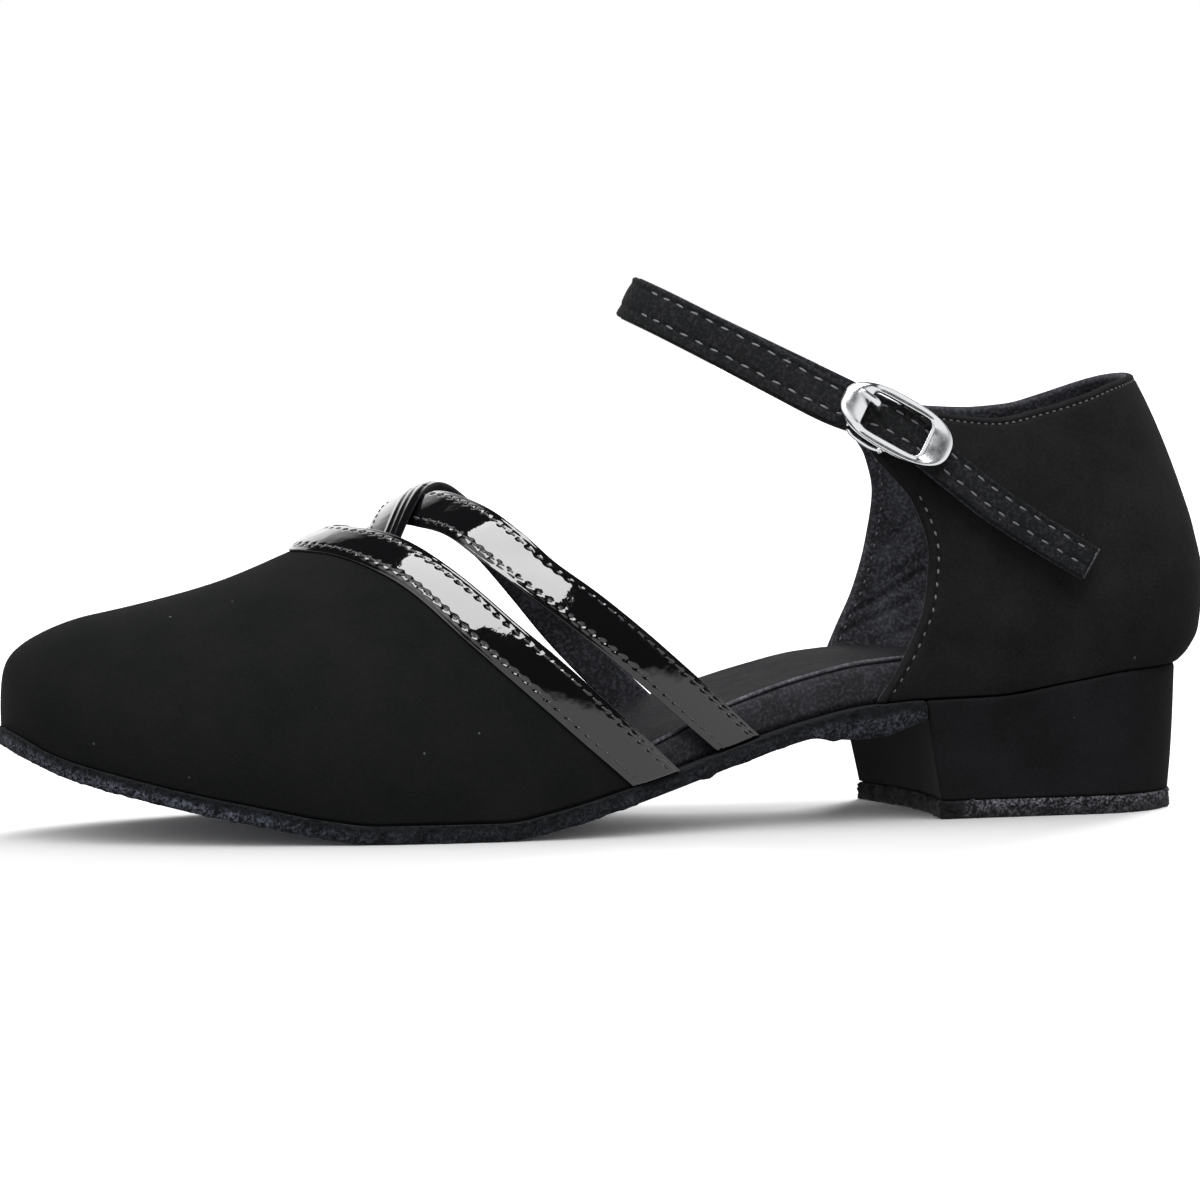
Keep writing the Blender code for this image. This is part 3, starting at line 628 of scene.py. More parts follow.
def edge_rows(length, radius, step, seam=0.0):
    """Places along a length as shares of it: close together at both ends as far as a seam, even between."""
    near = radius * (1 - np.cos(np.linspace(0, np.pi / 2, EDGE_FINE)))
    if seam > radius:
        count = int((seam - radius) / SEAM_STEP) + 1
        near = np.concatenate([near, np.linspace(radius, seam, count)[1:]])
    count = max(2, int(round((length - 2 * near[-1]) / step)))
    middle = np.linspace(near[-1], length - near[-1], count + 1)
    return np.concatenate([near[:-1], middle, length - near[::-1][1:]]) / length


def lay_grid(bm, spots, material=0, flip=False):
    """A flat grid with as many corners as there are spots, laid on them."""
    rows, columns = spots.shape[:2]
    made = bmesh.ops.create_grid(bm, x_segments=rows - 1, y_segments=columns - 1, size=0.5)["verts"]
    for v in made:
        i = int(round((v.co.x + 0.5) * (rows - 1)))
        j = int(round((v.co.y + 0.5) * (columns - 1)))
        v.co = spots[i, j] * MM
    faces = list({f for v in made for f in v.link_faces})
    for f in faces:
        f.material_index = material
        f.smooth = True
    if flip:
        bmesh.ops.reverse_faces(bm, faces=faces)


def put(name, data):
    """An object with its data, in the scene."""
    obj = bpy.data.objects.new(name, data)
    bpy.context.scene.collection.objects.link(obj)
    return obj


def put_mesh(name, bm, materials):
    """An object from a mesh that is being built."""
    mesh = bpy.data.meshes.new(name)
    bm.to_mesh(mesh)
    bm.free()
    for m in materials:
        mesh.materials.append(m)
    return put(name, mesh)


def finish(name, bm, materials, nodes=()):
    """The object of a finished mesh; it rides on the shoe and stands for the nodes that it replaces."""
    bmesh.ops.remove_doubles(bm, verts=bm.verts, dist=WELD)
    bmesh.ops.dissolve_degenerate(bm, edges=bm.edges, dist=1e-7)
    obj = put_mesh(name, bm, materials)
    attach(obj, BODY)
    if nodes:
        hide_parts(*nodes)
    return obj


def weld(bm):
    """Closes the seams of a form and turns its faces outward."""
    bmesh.ops.remove_doubles(bm, verts=bm.verts, dist=WELD)
    bmesh.ops.recalc_face_normals(bm, faces=bm.faces)


def soft_sheet(name, spots, us, vs, faces, materials, nodes):
    """A sheet with two skins either side of a middle surface, which meet all round its border."""
    normal = grid_normals(spots, us, vs)
    reach = reach_of(spots)
    up, down = faces(reach)
    outer = spots + normal * up[..., None]
    inner = spots - normal * down[..., None]
    bm = bmesh.new()
    lay_grid(bm, outer, 0)
    lay_grid(bm, inner, len(materials) - 1, flip=True)
    finish(name, bm, materials, nodes)
    return Sheet(outer, normal, reach, inner)


def plain_faces(thick, blunt):
    """Both faces of a plain sheet with round sides and blunt ends."""
    def faces(reach):
        edge = round_edge(reach.sides, thick / 2) * round_edge(reach.ends, blunt)
        return edge * thick / 2, edge * thick / 2
    return faces


def ring_form(name, rings, materials, nodes):
    """A closed form from rings laid one over another; the first and the last close on a line."""
    bm = bmesh.new()
    lay_grid(bm, np.concatenate([rings, rings[:, :1]], axis=1))
    weld(bm)
    return finish(name, bm, materials, nodes)


# Stitches

def edge_line(sheet, border, seam):
    """A seam's line on a sheet's face beside one of its borders, with its outward directions."""
    away = getattr(sheet.reach, border)
    across = border in ("low", "high")
    line = []
    for i in range(away.shape[1 if across else 0]):
        lane = (slice(None), i) if across else (i, slice(None))
        order = np.argsort(away[lane])
        far = away[lane][order]
        line.append([between(seam.inside, far, grid[lane][order]) for grid in (sheet.face, sheet.normal)])
    return np.array(line).swapaxes(0, 1)


def sew(bm, line, seam, skip):
    """Threads of one size laid end to end along a line, each a grain that sinks at its ends."""
    spots, ways = line
    run = run_of(spots)
    reach = 0.4 * seam.thread[0]
    stop = run[-1] - skip[1] - 0.4 * seam.pitch
    for n, s in enumerate(np.arange(skip[0] + 0.5 * seam.pitch, stop, seam.pitch)):
        spot, before, after = (between(x, run, spots) for x in (s, s - reach, s + reach))
        out = Vector(between(s, run, ways)).normalized()
        ahead = Vector(after - before).normalized()
        aside = out.cross(ahead).normalized()
        ahead = (ahead + aside * (THREAD_SLANT if n % 2 else -THREAD_SLANT)).normalized()
        aside = out.cross(ahead).normalized()
        turn = Matrix((ahead, aside, out)).transposed().to_4x4()
        scale = Matrix.Diagonal([length * MM for length in seam.thread] + [1.0])
        place = Matrix.Translation(Vector(spot) * MM) @ turn @ scale
        bmesh.ops.create_uvsphere(bm, u_segments=8, v_segments=6, radius=0.5, matrix=place)


def threads(name, rows, material, seam, skip):
    """One piece with all the stitches of some rows."""
    bm = bmesh.new()
    for row in rows:
        sew(bm, row, seam, skip)
    for f in bm.faces:
        f.smooth = True
    finish(name, bm, [material])


def stitch_dents(away, run, seam):
    """Depth of a sewn line: a shallow groove with a deeper hole between each two threads."""
    beat = np.abs(run / seam.pitch - np.round(run / seam.pitch)) * seam.pitch
    off = away - seam.inside
    return hump(off, 0.36) * seam.groove + hump(off, 0.5) * seam.hole * hump(beat, 0.45)


# Materials

def shade(code):
    """An sRGB hex colour as linear red, green, blue and alpha."""
    parts = [int(code[i:i + 2], 16) / 255 for i in (0, 2, 4)]
    return tuple(c / 12.92 if c <= 0.04045 else ((c + 0.055) / 1.055) ** 2.4 for c in parts) + (1.0,)


def grain(mm):
    """Scale of a pattern whose feature is that many millimetres wide."""
    return 1.0 / (mm * MM)


def node(tree, kind, inputs=(), **settings):
    """Adds one node with its settings; an input is a plain value or another node's output."""
    made = tree.nodes.new("ShaderNode" + kind)
    for name, value in settings.items():
        setattr(made, name, value)
    for key, value in dict(inputs).items():
        if isinstance(value, bpy.types.NodeSocket):
            tree.links.new(value, made.inputs[key])
        else:
            made.inputs[key].default_value = value
    return made


class Looks:
    """A new material: its shader's plain values, and nodes whose patterns read the place on the shoe."""

    def __init__(self, name, **values):
        self.made = bpy.data.materials.new(name)
        self.made.use_nodes = True
        self.tree = self.made.node_tree
        self.shader = self.tree.nodes["Principled BSDF"]
        for key, value in values.items():
            self.shader.inputs[key.replace("_", " ")].default_value = value
        self.place = node(self.tree, "TexCoord").outputs["Object"]

    def noise(self, mm, detail=2.0, rough=0.5):
        """Clouds of a size."""
        inputs = {"Vector": self.place, "Scale": grain(mm), "Detail": detail, "Roughness": rough}
        return node(self.tree, "TexNoise", inputs).outputs["Fac"]

    def cells(self, mm):
        """Round cells of a size: the distance from their middles, and a chance colour for each."""
        return node(self.tree, "TexVoronoi", {"Vector": self.place, "Scale": grain(mm)}).outputs

    def flecks(self, mm, core, rim):
        """Small round specks, and a chance number for each."""
        cells = self.cells(mm)
        chance = node(self.tree, "SeparateColor", {"Color": cells["Color"]}).outputs["Red"]
        return self.span(cells["Distance"], core, rim, 1.0, 0.0), chance

    def span(self, value, low, high, start=0.0, stop=1.0):
        """A range of values moved to another range."""
        return node(self.tree, "MapRange", {0: value, 1: low, 2: high, 3: start, 4: stop}).outputs["Result"]

    def sums(self, operation, *values, clamp=False):
        """One step of arithmetic."""
        made = node(self.tree, "Math", enumerate(values), operation=operation, use_clamp=clamp)
        return made.outputs["Value"]

    def mix(self, share, dark, light):
        """A colour between two others, each a hex code or another mix."""
        dark, light = (shade(c) if isinstance(c, str) else c for c in (dark, light))
        return node(self.tree, "Mix", {0: share, 6: dark, 7: light}, data_type="RGBA").outputs[2]

    def join(self, output, *sockets):
        """Gives an output to the shader."""
        for name in sockets:
            self.tree.links.new(output, self.shader.inputs[name])

    def bump(self, height, strength, mm, *sockets):
        """Raises the surface by a pattern."""
        inputs = {"Height": height, "Strength": strength, "Distance": mm * MM}
        self.join(node(self.tree, "Bump", inputs).outputs["Normal"], "Normal", *sockets)


def nubuck(name, dark, light):
    """Buffed microfibre nubuck: no gloss, a short nap that lightens at grazing angles, a little lint."""
    looks = Looks(name, Roughness=0.95, Specular_IOR_Level=0.05, Sheen_Weight=0.012, Sheen_Roughness=0.42,
                  Sheen_Tint=shade("c8c8cc"))
    nap = looks.noise(0.6, 3.0, 0.65)
    both = looks.sums("MULTIPLY_ADD", nap, 0.8, looks.noise(14, 4.0, 0.6))
    tone = looks.mix(looks.span(both, 0.65, 1.15), dark, light)
    near, chance = looks.flecks(6, 0.03, 0.055)
    lint = looks.sums("MULTIPLY", near, looks.sums("GREATER_THAN", chance, 0.6))
    looks.join(looks.mix(lint, tone, "3b3c3f"), "Base Color")
    looks.bump(nap, 0.5, 0.2)
    return looks.made


def patent():
    """Patent leather: a thick clear film over black, mirror bright, with a slow wave of the hide below."""
    looks = Looks("black_patent", Base_Color=shade("060607"), Roughness=0.05, IOR=1.52, Coat_Weight=0.5,
                  Coat_Roughness=0.02)
    wave = looks.sums("MULTIPLY_ADD", looks.noise(1.6), 0.16, looks.noise(7))
    looks.bump(wave, 0.5, 0.28, "Coat Normal")
    return looks.made


def grained_leather(name, dark, light, pebble, rough, dust):
    """Thin dyed leather: fine pebbles that catch the light, and a dusty bloom in patches."""
    looks = Looks(name, Specular_IOR_Level=0.10)
    wear = looks.noise(9, 5.0, 0.65)
    fine = looks.noise(0.7, 3.0)
    patch = looks.span(wear, 0.35, 0.72, 0.0, dust)
    speck = looks.span(fine, 0.46, 0.68, -0.15, 0.7)
    colour = looks.mix(looks.sums("ADD", patch, speck, clamp=True), dark, light)
    near, chance = looks.flecks(2.6, 0.04, 0.11)
    dusty = looks.sums("MULTIPLY", near, looks.span(chance, 0.55, 1.0, 0.0, 0.8))
    looks.join(looks.mix(dusty, colour, "4a4a4e"), "Base Color")
    looks.join(looks.span(wear, 0.3, 0.7, rough - 0.08, rough + 0.1), "Roughness")
    pebbles = looks.sums("MULTIPLY_ADD", fine, 0.5, looks.cells(pebble)["Distance"])
    looks.bump(pebbles, 0.45, 0.16)
    return looks.made


def suede(name, dark, light, fibre):
    """Raw split suede: a loose pile, dark in its roots, light at its tips, black where painted shade lies on
    it.
    """
    looks = Looks(name, Roughness=0.95, Specular_IOR_Level=0.1, Sheen_Weight=0.03, Sheen_Roughness=0.5)
    pile = looks.noise(fibre, 4.0, 0.7)
    both = looks.sums("MULTIPLY_ADD", looks.noise(2.4), 0.35, pile)
    # The piece's painted shade hides the light fibre tips and leaves the suede black.
    painted_shade = node(looks.tree, "Attribute", attribute_name="painted_shade").outputs["Fac"]
    unshaded = looks.span(painted_shade, 0.0, 1.0, 1.0, 0.05)
    tips = looks.sums("MULTIPLY", looks.span(both, 0.62, 0.84), unshaded)
    looks.join(looks.mix(tips, dark, light), "Base Color")
    looks.bump(pile, 0.9, 0.4)
    return looks.made


def thread(name, dark, light, rough):
    """Twisted polyester thread: small random patches of painted highlight and painted shade, for the crown of
    each twist and the hollow between.
    """
    looks = Looks(name, Roughness=rough, Sheen_Weight=0.1)
    looks.join(looks.mix(looks.noise(0.35, 1.0), dark, light), "Base Color")
    return looks.made


def chrome():
    """Bright nickel and chrome plate on a cast buckle: a mirror with faint polishing marks."""
    looks = Looks("chrome_plate", Base_Color=shade("e9eaec"), Metallic=1.0)
    wear = looks.noise(2.2, 4.0, 0.65)
    looks.join(looks.span(wear, 0.35, 0.75, 0.2, 0.32), "Roughness")
    looks.bump(wear, 0.12, 0.1)
    return looks.made


def floor_paint():
    """Painted table top: pale and matt, with a mottle that hardly shows."""
    looks = Looks("pale_floor", Roughness=0.9, Specular_IOR_Level=0.0)
    looks.join(looks.mix(looks.noise(1000 / 3), "f4f4f5", "f7f7f8"), "Base Color")
    return looks.made


# The toe's nubuck is the cup's, set darker: painted shade against the lamp's light on the toe's upward faces.
TOE_NUBUCK_PAINTED_SHADE = nubuck("toe_nubuck_painted_shade", "090a0a", "101011")
CUP_NUBUCK = nubuck("cup_nubuck", "0e0e0f", "181819")
HEEL_NUBUCK = nubuck("heel_nubuck", "0c0c0d", "141416")
PATENT = patent()
LINING = grained_leather("grey_lining", "1a1a1d", "37383e", 0.9, 0.66, 0.6)
SOCK = grained_leather("sock_leather", "09090b", "1b1b1e", 0.8, 0.8, 0.5)
RAND = grained_leather("rand_leather", "161619", "2c2c30", 0.7, 0.78, 0.5)
# A lighter leather for cut edges; along the sock's edge its light colour is a painted highlight on the ridge.
CUT_EDGE = grained_leather("sock_cut_edge_painted_highlight", "2b2b2f", "515157", 0.5, 0.7, 0.6)
STRAP_LEATHER = grained_leather("strap_leather", "0a0b0c", "1e1e20", 0.8, 0.82, 0.4)
SOLE_SUEDE = suede("sole_suede", "060709", "4a4d58", 0.55)
TOP_SUEDE = suede("top_piece_suede", "09090b", "58585f", 0.6)
GREY_THREAD = thread("grey_thread", "313134", "58585b", 0.6)
DARK_THREAD = thread("waxed_black_thread", "0e0e0f", "343538", 0.32)
CUP_THREAD = thread("slate_thread", "1a1a1c", "3a3a3d", 0.6)
CHROME = chrome()


# Sole, insole and heel

def breast_line(across):
    """Shape of the heel's breast across the shoe: hollow, and further forward on the inner side."""
    return 1 - across ** 2 - BREAST_SKEW * (across + 1) / 2


def sole_ring(inset, height, end, bow, count):
    """The sole's outline from the toe tip down the outer side, across its end and up the inner side."""
    k = np.linspace(0, 1, count)
    t = inset + (end - inset) * k ** 1.7
    cross = np.linspace(-1, 1, count // 6 + 2)[1:-1]
    skew = BREAST_SKEW * bow * smooth((t - CUP_FRONT) / (end - CUP_FRONT))
    left = -half_width(LATERAL, t, inset)
    right = half_width(MEDIAL, t, inset)
    over = left[-1] + (right[-1] - left[-1]) * (cross + 1) / 2
    ts = np.concatenate([t, end + bow * breast_line(cross), t[::-1] - skew[::-1]])
    ys = np.concatenate([left, over, right[::-1]])
    return np.stack([ts - HALF, ys, height(ts)], -1)


def shrink(ring, share, height):
    """A ring drawn in across the shoe towards the middle line, at its own height."""
    t = ring[:, 0] + HALF
    middle = 0.5 * (half_width(MEDIAL, t) - half_width(LATERAL, t))
    y = middle + (ring[:, 1] - middle) * share
    return np.stack([ring[:, 0], y, height(t)], -1)


def fuzz(count, seed, amount, passes):
    """Small in and out steps of a ragged edge, the same each time; more passes make them longer."""
    dice = np.random.default_rng(seed)
    steps = dice.normal(0.0, 1.0, (count, 3))
    for _ in range(passes):
        steps = (steps + np.roll(steps, 1, axis=0) + np.roll(steps, -1, axis=0)) / 3.0
    return steps * amount / steps.std()


def keep_painted_shade(obj, painted_shade):
    """Keeps on each spot of a piece how much painted shade darkens it."""
    spots = np.array([v.co for v in obj.data.vertices]) / MM
    amount = painted_shade(spots[:, 0] + HALF, spots[:, 2])
    obj.data.attributes.new("painted_shade", "FLOAT", "POINT").data.foreach_set("value", amount)


def make_outsole():
    """The suede sole: ragged, and its edge darkened to black by painted shade."""
    end = HEEL[-1].breast - GAP

    def ring(inset, height):
        return sole_ring(inset, height, end - inset, BREAST_HOLLOW, OUTSOLE_STEPS)

    low = ring(OUTSOLE_EDGE, sole_under)
    high = ring(OUTSOLE_EDGE, seat)
    rings = [shrink(low, share, sole_under) for share in SOLE_SHARES]
    ragged = fuzz(len(low), SOLE_SEED, SOLE_RAGGED, SOLE_PASSES)
    ragged[:, 2] *= smooth((low[:, 2] - RAGGED_ABOVE) / RAGGED_RISE)
    ragged *= 0.5 + 0.5 * smooth((low[:, :1] + HALF - RAGGED_FROM) / RAGGED_EASE)
    turns = np.linspace(-np.pi / 2, np.pi / 2, SOLE_TURNS)
    for i, turn in enumerate(turns):
        level = 0.5 + 0.5 * power(np.sin(turn), SOLE_BLUNT)
        inset = OUTSOLE_EDGE * (1 - np.cos(turn) ** SOLE_BLUNT)
        edge = ring(inset, lambda t: sole_under(t) + (seat(t) - sole_under(t)) * level)
        if 0 < i < len(turns) - 1:
            fibres = fuzz(len(low), i, SOLE_FIBRE * math.cos(turn) + SOLE_FIBRE_LEAST, 1)
            edge = edge + ragged * (1 - level) + fibres
            edge[:, 2] = np.maximum(edge[:, 2], FLOOR_CLEAR)
        rings.append(edge)
    rings += [shrink(high, share, seat) for share in SOLE_SHARES[::-1]]
    obj = ring_form("outsole_suede", np.array(rings), [SOLE_SUEDE], ["outsole"])

    # Painted shade: black at the top of the edge under the upper and at its foot by the floor, and darker all
    # along behind the toe.
    def edge_shade(t, z):
        level = (z - sole_under(t)) / (seat(t) - sole_under(t))
        middle = sum(d.share * smooth((t - d.start) / d.ease) for d in EDGE_SHADE)
        top = smooth((level - EDGE_SHADE_TOP) / EDGE_SHADE_TOP_EASE)
        foot = EDGE_SHADE_FOOT - smooth((level + EDGE_SHADE_UNDER) / EDGE_SHADE_FOOT_EASE)
        return np.maximum.reduce([top, middle, foot])

    keep_painted_shade(obj, edge_shade)


def make_insole():
    """The wrapped rand, and on it the sock with its own cut edge."""
    def rand(share):
        return lambda t: seat(t) + TOUCH + (pad(t) - SOCK_EDGE) * share

    def sock(level):
        return lambda t: seat(t) + TOUCH + pad(t) - SOCK_EDGE + level

    def ring(inset, height):
        return sole_ring(inset, height, SOLE_BACK - inset, 0.0, INSOLE_STEPS)

    def drawn(inset, height, shares):
        return [shrink(ring(inset, height), share, height) for share in shares]

    rings = drawn(INSOLE_INSET, rand(0.0), RAND_SHARES)
    rings += [ring(INSOLE_INSET, rand(share)) for share in RAND_LEVELS]
    for turn in np.linspace(0, np.pi / 2, 7):
        inset = INSOLE_INSET + INSOLE_SHOULDER * (1 - math.cos(turn))
        rings.append(ring(inset, rand(RAND_TURN + (1 - RAND_TURN) * math.sin(turn))))
    inner = INSOLE_INSET + INSOLE_SHOULDER
    rings += drawn(inner, rand(1.0), RAND_SHARES[::-1])
    ring_form("insole_rand", np.array(rings), [RAND], ["insole"])
    cut = inner + SOCK_IN
    rings = drawn(cut, sock(SOCK_LOW), SOCK_UNDER)
    for turn in np.linspace(0, np.pi / 2, 6):
        inset = cut + SOCK_ROUND * (1 - math.cos(turn))
        rings.append(ring(inset, sock(SOCK_LOW + (SOCK_EDGE - SOCK_LOW) * math.sin(turn))))
    rings += drawn(cut + SOCK_ROUND, sock(SOCK_EDGE), SOCK_SHARES)
    ring_form("sock_sheet", np.array(rings), [SOCK], ())
    # The sock's cut edge: a thin bar of the lighter leather, whose colour is a painted highlight along the
    # edge.
    t = np.linspace(SOCK_CUT_FROM, SOCK_CUT_TO, SOCK_CUT_STEPS)
    ridge = np.stack([t - HALF, -half_width(LATERAL, t, cut + SOCK_CUT_IN), sock(SOCK_EDGE)(t)], -1)
    front = round_end((t - (SOCK_CUT_FROM - 1)) / SOCK_CUT_TAPER)
    radius = SOCK_CUT_RADIUS * front * round_end((SOCK_CUT_TO + 1 - t) / SOCK_CUT_TAPER)
    bar("sock_cut_edge_painted_highlight", ridge, radius, 10, CUT_EDGE, ())


def heel_ring(rise, low, spread=1.0):
    """One level of the heel: hollow breast in front, round at the back."""
    top = HEEL[-1]
    breast = heel_breast(rise)
    back = heel_back(rise)
    cross = np.linspace(1, -1, 60)
    k = 1 - (1 - np.linspace(0, 1, 130)) ** 2
    base = top.breast + (top.back - top.breast) * k
    wide = heel_spread(rise) * spread
    left = -half_width(LATERAL, base, SOLE_BACK - top.back) * wide
    right = half_width(MEDIAL, base, SOLE_BACK - top.back) * wide
    side = breast + (back - breast) * k
    inner = side - BREAST_HOLLOW * BREAST_SKEW * (1 - smooth(3 * k))
    ts = np.concatenate([breast + BREAST_HOLLOW * breast_line(cross), side[1:], inner[-2:0:-1]])
    ys = np.concatenate([left[0] + (right[0] - left[0]) * (cross + 1) / 2, left[1:], right[-2:0:-1]])
    ts = ts + (spread - 1.0) * (ts - 0.5 * (breast + back))
    ring = even_ring(np.stack([ts, ys], -1), 420, 2)
    z = low + rise * (seat(ring[:, 0]) - low)
    return np.stack([ring[:, 0] - HALF, ring[:, 1], z], -1)


def even_ring(ring, count, soften):
    """A closed line with even steps and its corners a little rounded."""
    closed = np.concatenate([ring, ring[:1]])
    run = run_of(closed)
    even = between(np.linspace(0, run[-1], count, endpoint=False), run, closed)
    for _ in range(soften):
        even = 0.25 * np.roll(even, 1, axis=0) + 0.5 * even + 0.25 * np.roll(even, -1, axis=0)
    return even


def draw_in(ring, share):
    """A ring drawn in towards its own middle."""
    middle = ring.mean(axis=0)
    drawn = middle + (ring - middle) * share
    drawn[:, 2] = ring[:, 2]
    return drawn


def make_heel():
    """The covered heel with its hollow breast, and under it the top piece with its ragged edge."""
    low = TOP_PIECE_THICK + TOUCH
    bottom = heel_ring(0.0, low)
    top = heel_ring(1.0, low)
    rings = [draw_in(bottom, share) for share in HEEL_UNDER]
    rings += [heel_ring(rise, low) for rise in HEEL_RISES]
    rings += [draw_in(top - np.array([0, 0, lower]), share) for share, lower in HEEL_OVER]
    ring_form("heel_cover", np.array(rings), [HEEL_NUBUCK], ["heel_block"])
    rim = heel_ring(0.0, 0.0, TOP_PIECE_SPREAD)
    rings = [draw_in(rim, share) for share in TOP_SHARES]
    for i, level in enumerate(np.linspace(*TOP_LEVELS)):
        lifted = rim + np.array([0.0, 0.0, TOP_PIECE_THICK * level])
        ragged = fuzz(len(rim), TOP_SEED, TOP_RAGGED, TOP_PASSES) * level
        ragged = ragged + fuzz(len(rim), TOP_SEED + 1 + i, TOP_FIBRE, 1)
        ragged[:, 2] = np.maximum(ragged[:, 2], FLOOR_CLEAR - lifted[:, 2])
        rings.append(lifted + ragged)
    lifted = rim + np.array([0.0, 0.0, TOP_PIECE_THICK])
    rings += [draw_in(lifted, share) for share in TOP_SHARES[::-1]]
    obj = ring_form("heel_top_suede", np.array(rings), [TOP_SUEDE], ["heel_top_piece"])
    front = heel_breast(0.0) + BREAST_HOLLOW

    # Painted shade: the top piece goes dark towards the floor and at its front under the breast.
    def edge_shade(t, z):
        low_part = TOP_SHADE * smooth((TOP_SHADE_HIGH - z) / TOP_SHADE_FADE)
        return np.maximum(smooth((front + TOP_SHADE_BEHIND - t) / TOP_SHADE_EASE), low_part)

    keep_painted_shade(obj, edge_shade)


# Upper

def make_vamp():
    """The toe part, from the toe tip to under the front band."""
    around = np.linspace(0, 1, 221)
    k = np.linspace(0, 1, 130)
    t = EDGE_STEP + (vamp_edge(around)[None, :] - EDGE_STEP) * k[:, None] ** 3.0
    spots = skin(t, around[None, :])

    def faces(reach):
        edge = round_edge(reach.ends, 1.2) * round_edge(reach.high, 1.2)
        return np.zeros_like(edge), VAMP_WALL * edge

    soft_sheet("vamp_shell", spots, k, around, faces, [TOE_NUBUCK_PAINTED_SHADE, LINING], ["vamp"])


def patent_faces(thick, pleated=0.0):
    """Upper and under face of a patent band: rolled edges, sewn lines, pleats where bunched."""
    def faces(reach):
        away = reach.sides
        wide = reach.low + reach.high
        ends = round_edge(reach.ends, 0.4)
        edge = round_edge(away, thick / 2) * ends
        rim = round_edge(away, PATENT_RIM) * ends
        middle = np.maximum(0.5 * wide - PATENT_SEAM.inside, 0.5)
        crown = PATENT_CROWN * smooth((away - PATENT_SEAM.inside) / middle)
        roll = LINE_DEEP * hump(away - LINE_IN, LINE_WIDE) + ROLL_DEEP * (1 - smooth(away / ROLL_WIDE))
        sewn = smooth((wide - 5.0) / 2.0) * (1 - pleated)
        dents = sewn * stitch_dents(away, reach.start, PATENT_SEAM)
        folds = pleated * sum(PLEAT_HIGH * hump(reach.high - far, PLEAT_WIDE) for far in PLEATS)
        return rim * (thick / 2 + crown - roll - dents + folds), edge * thick / 2
    return faces


def sew_patent(name, sheet, borders=("low", "high")):
    """Rows of waxed thread along a patent band."""
    rows = [edge_line(sheet, border, PATENT_SEAM) for border in borders]
    threads(name, rows, DARK_THREAD, PATENT_SEAM, (1.0, 1.0))


def band_skin(front, rear, ks, around):
    """The fore part's face between two edge lines."""
    t = front[None, :] * (1 - ks[:, None]) + rear[None, :] * ks[:, None]
    return skin(t, around[None, :])


def make_band():
    """The patent band over the toe part's edge, a little raised towards its rear edge."""
    around = np.linspace(0, 1, 481)
    ks = edge_rows(BAND_WIDE, BAND_THICK / 2, PATENT_STEP)
    base = band_skin(band_front(around), band_rear(around), ks, around)
    lift = TOUCH + BAND_THICK / 2 + BAND_TILT * BAND_WIDE * (ks - 0.3)
    spots = base + grid_normals(base, ks, around) * lift[:, None, None]
    sheet = soft_sheet("front_band", spots, ks, around, patent_faces(BAND_THICK), [PATENT, LINING],
                       ["vamp_band"])
    sew_patent("front_band_stitches", sheet)


def make_rear_strap(name, node_name, front_line, rear_line, flip, dip):
    """A rear strap: the outer dips and twists to pass under the crossing, the inner is bunched there."""
    along = np.linspace(0, STRAP_END, 331)
    ks = edge_rows(STRAP_WIDE, STRAP_THICK / 2, PATENT_STEP)
    around = 1 - along if flip else along
    front = np.maximum(front_line(along), vamp_edge(around) + EDGE_CLEAR)
    rear = np.maximum(rear_line(along), front + STRAP_LEAST)
    sink = -STRAP_SINK - dip * (1 - smooth((np.abs(along - 0.5) - CROSS_HALF) / CROSS_EASE))
    tilt = FOOT_TILT + (KNOT_TILT - FOOT_TILT) * smooth((along - KNOT_FROM) / KNOT_EASE)
    back = smooth((along - BACK_FROM) / BACK_EASE)
    tilt = 0 * tilt if flip else tilt * (1 - back) + KNOT_BACK * back
    pleated = smooth((along - PLEAT_FROM) / PLEAT_EASE) if flip else 0 * along
    if flip:
        around, front, rear, sink, pleated = (line[::-1] for line in (around, front, rear, sink, pleated))
    base = band_skin(front, rear, ks, around)
    lift = sink[None, :] - STRAP_THICK / 2 - tilt[None, :] * (rear - front)[None, :] * (ks[:, None] - 0.5)
    spots = base + grid_normals(base, ks, around) * lift[..., None]
    sheet = soft_sheet(name, spots, ks, around, patent_faces(STRAP_THICK, pleated[None, :]),
                       [PATENT, LINING], [node_name])
    sew_patent(name + "_stitches", sheet, ("low",) if flip else ("low", "high"))


def cup_faces(reach):
    """Faces of the heel cup: folded edges with sewn lines outside, slack lining inside."""
    half = CUP_WALL / 2
    edge = round_edge(reach.high, half) * round_edge(reach.ends, half) * round_edge(reach.low, 0.5)
    dents = stitch_dents(reach.high, reach.start, COLLAR_SEAM)
    sewn = smooth((reach.high - EAR_BARE) / 2.0)
    dents = dents + sewn * stitch_dents(reach.ends, reach.low, EAR_SEAM)
    fold = sum(CUP_FOLD * hump(far - CUP_FOLD_AT, CUP_FOLD_WIDE) for far in (reach.high, reach.ends))
    return edge * (half - dents + fold), edge * (half + lining_creases(reach))


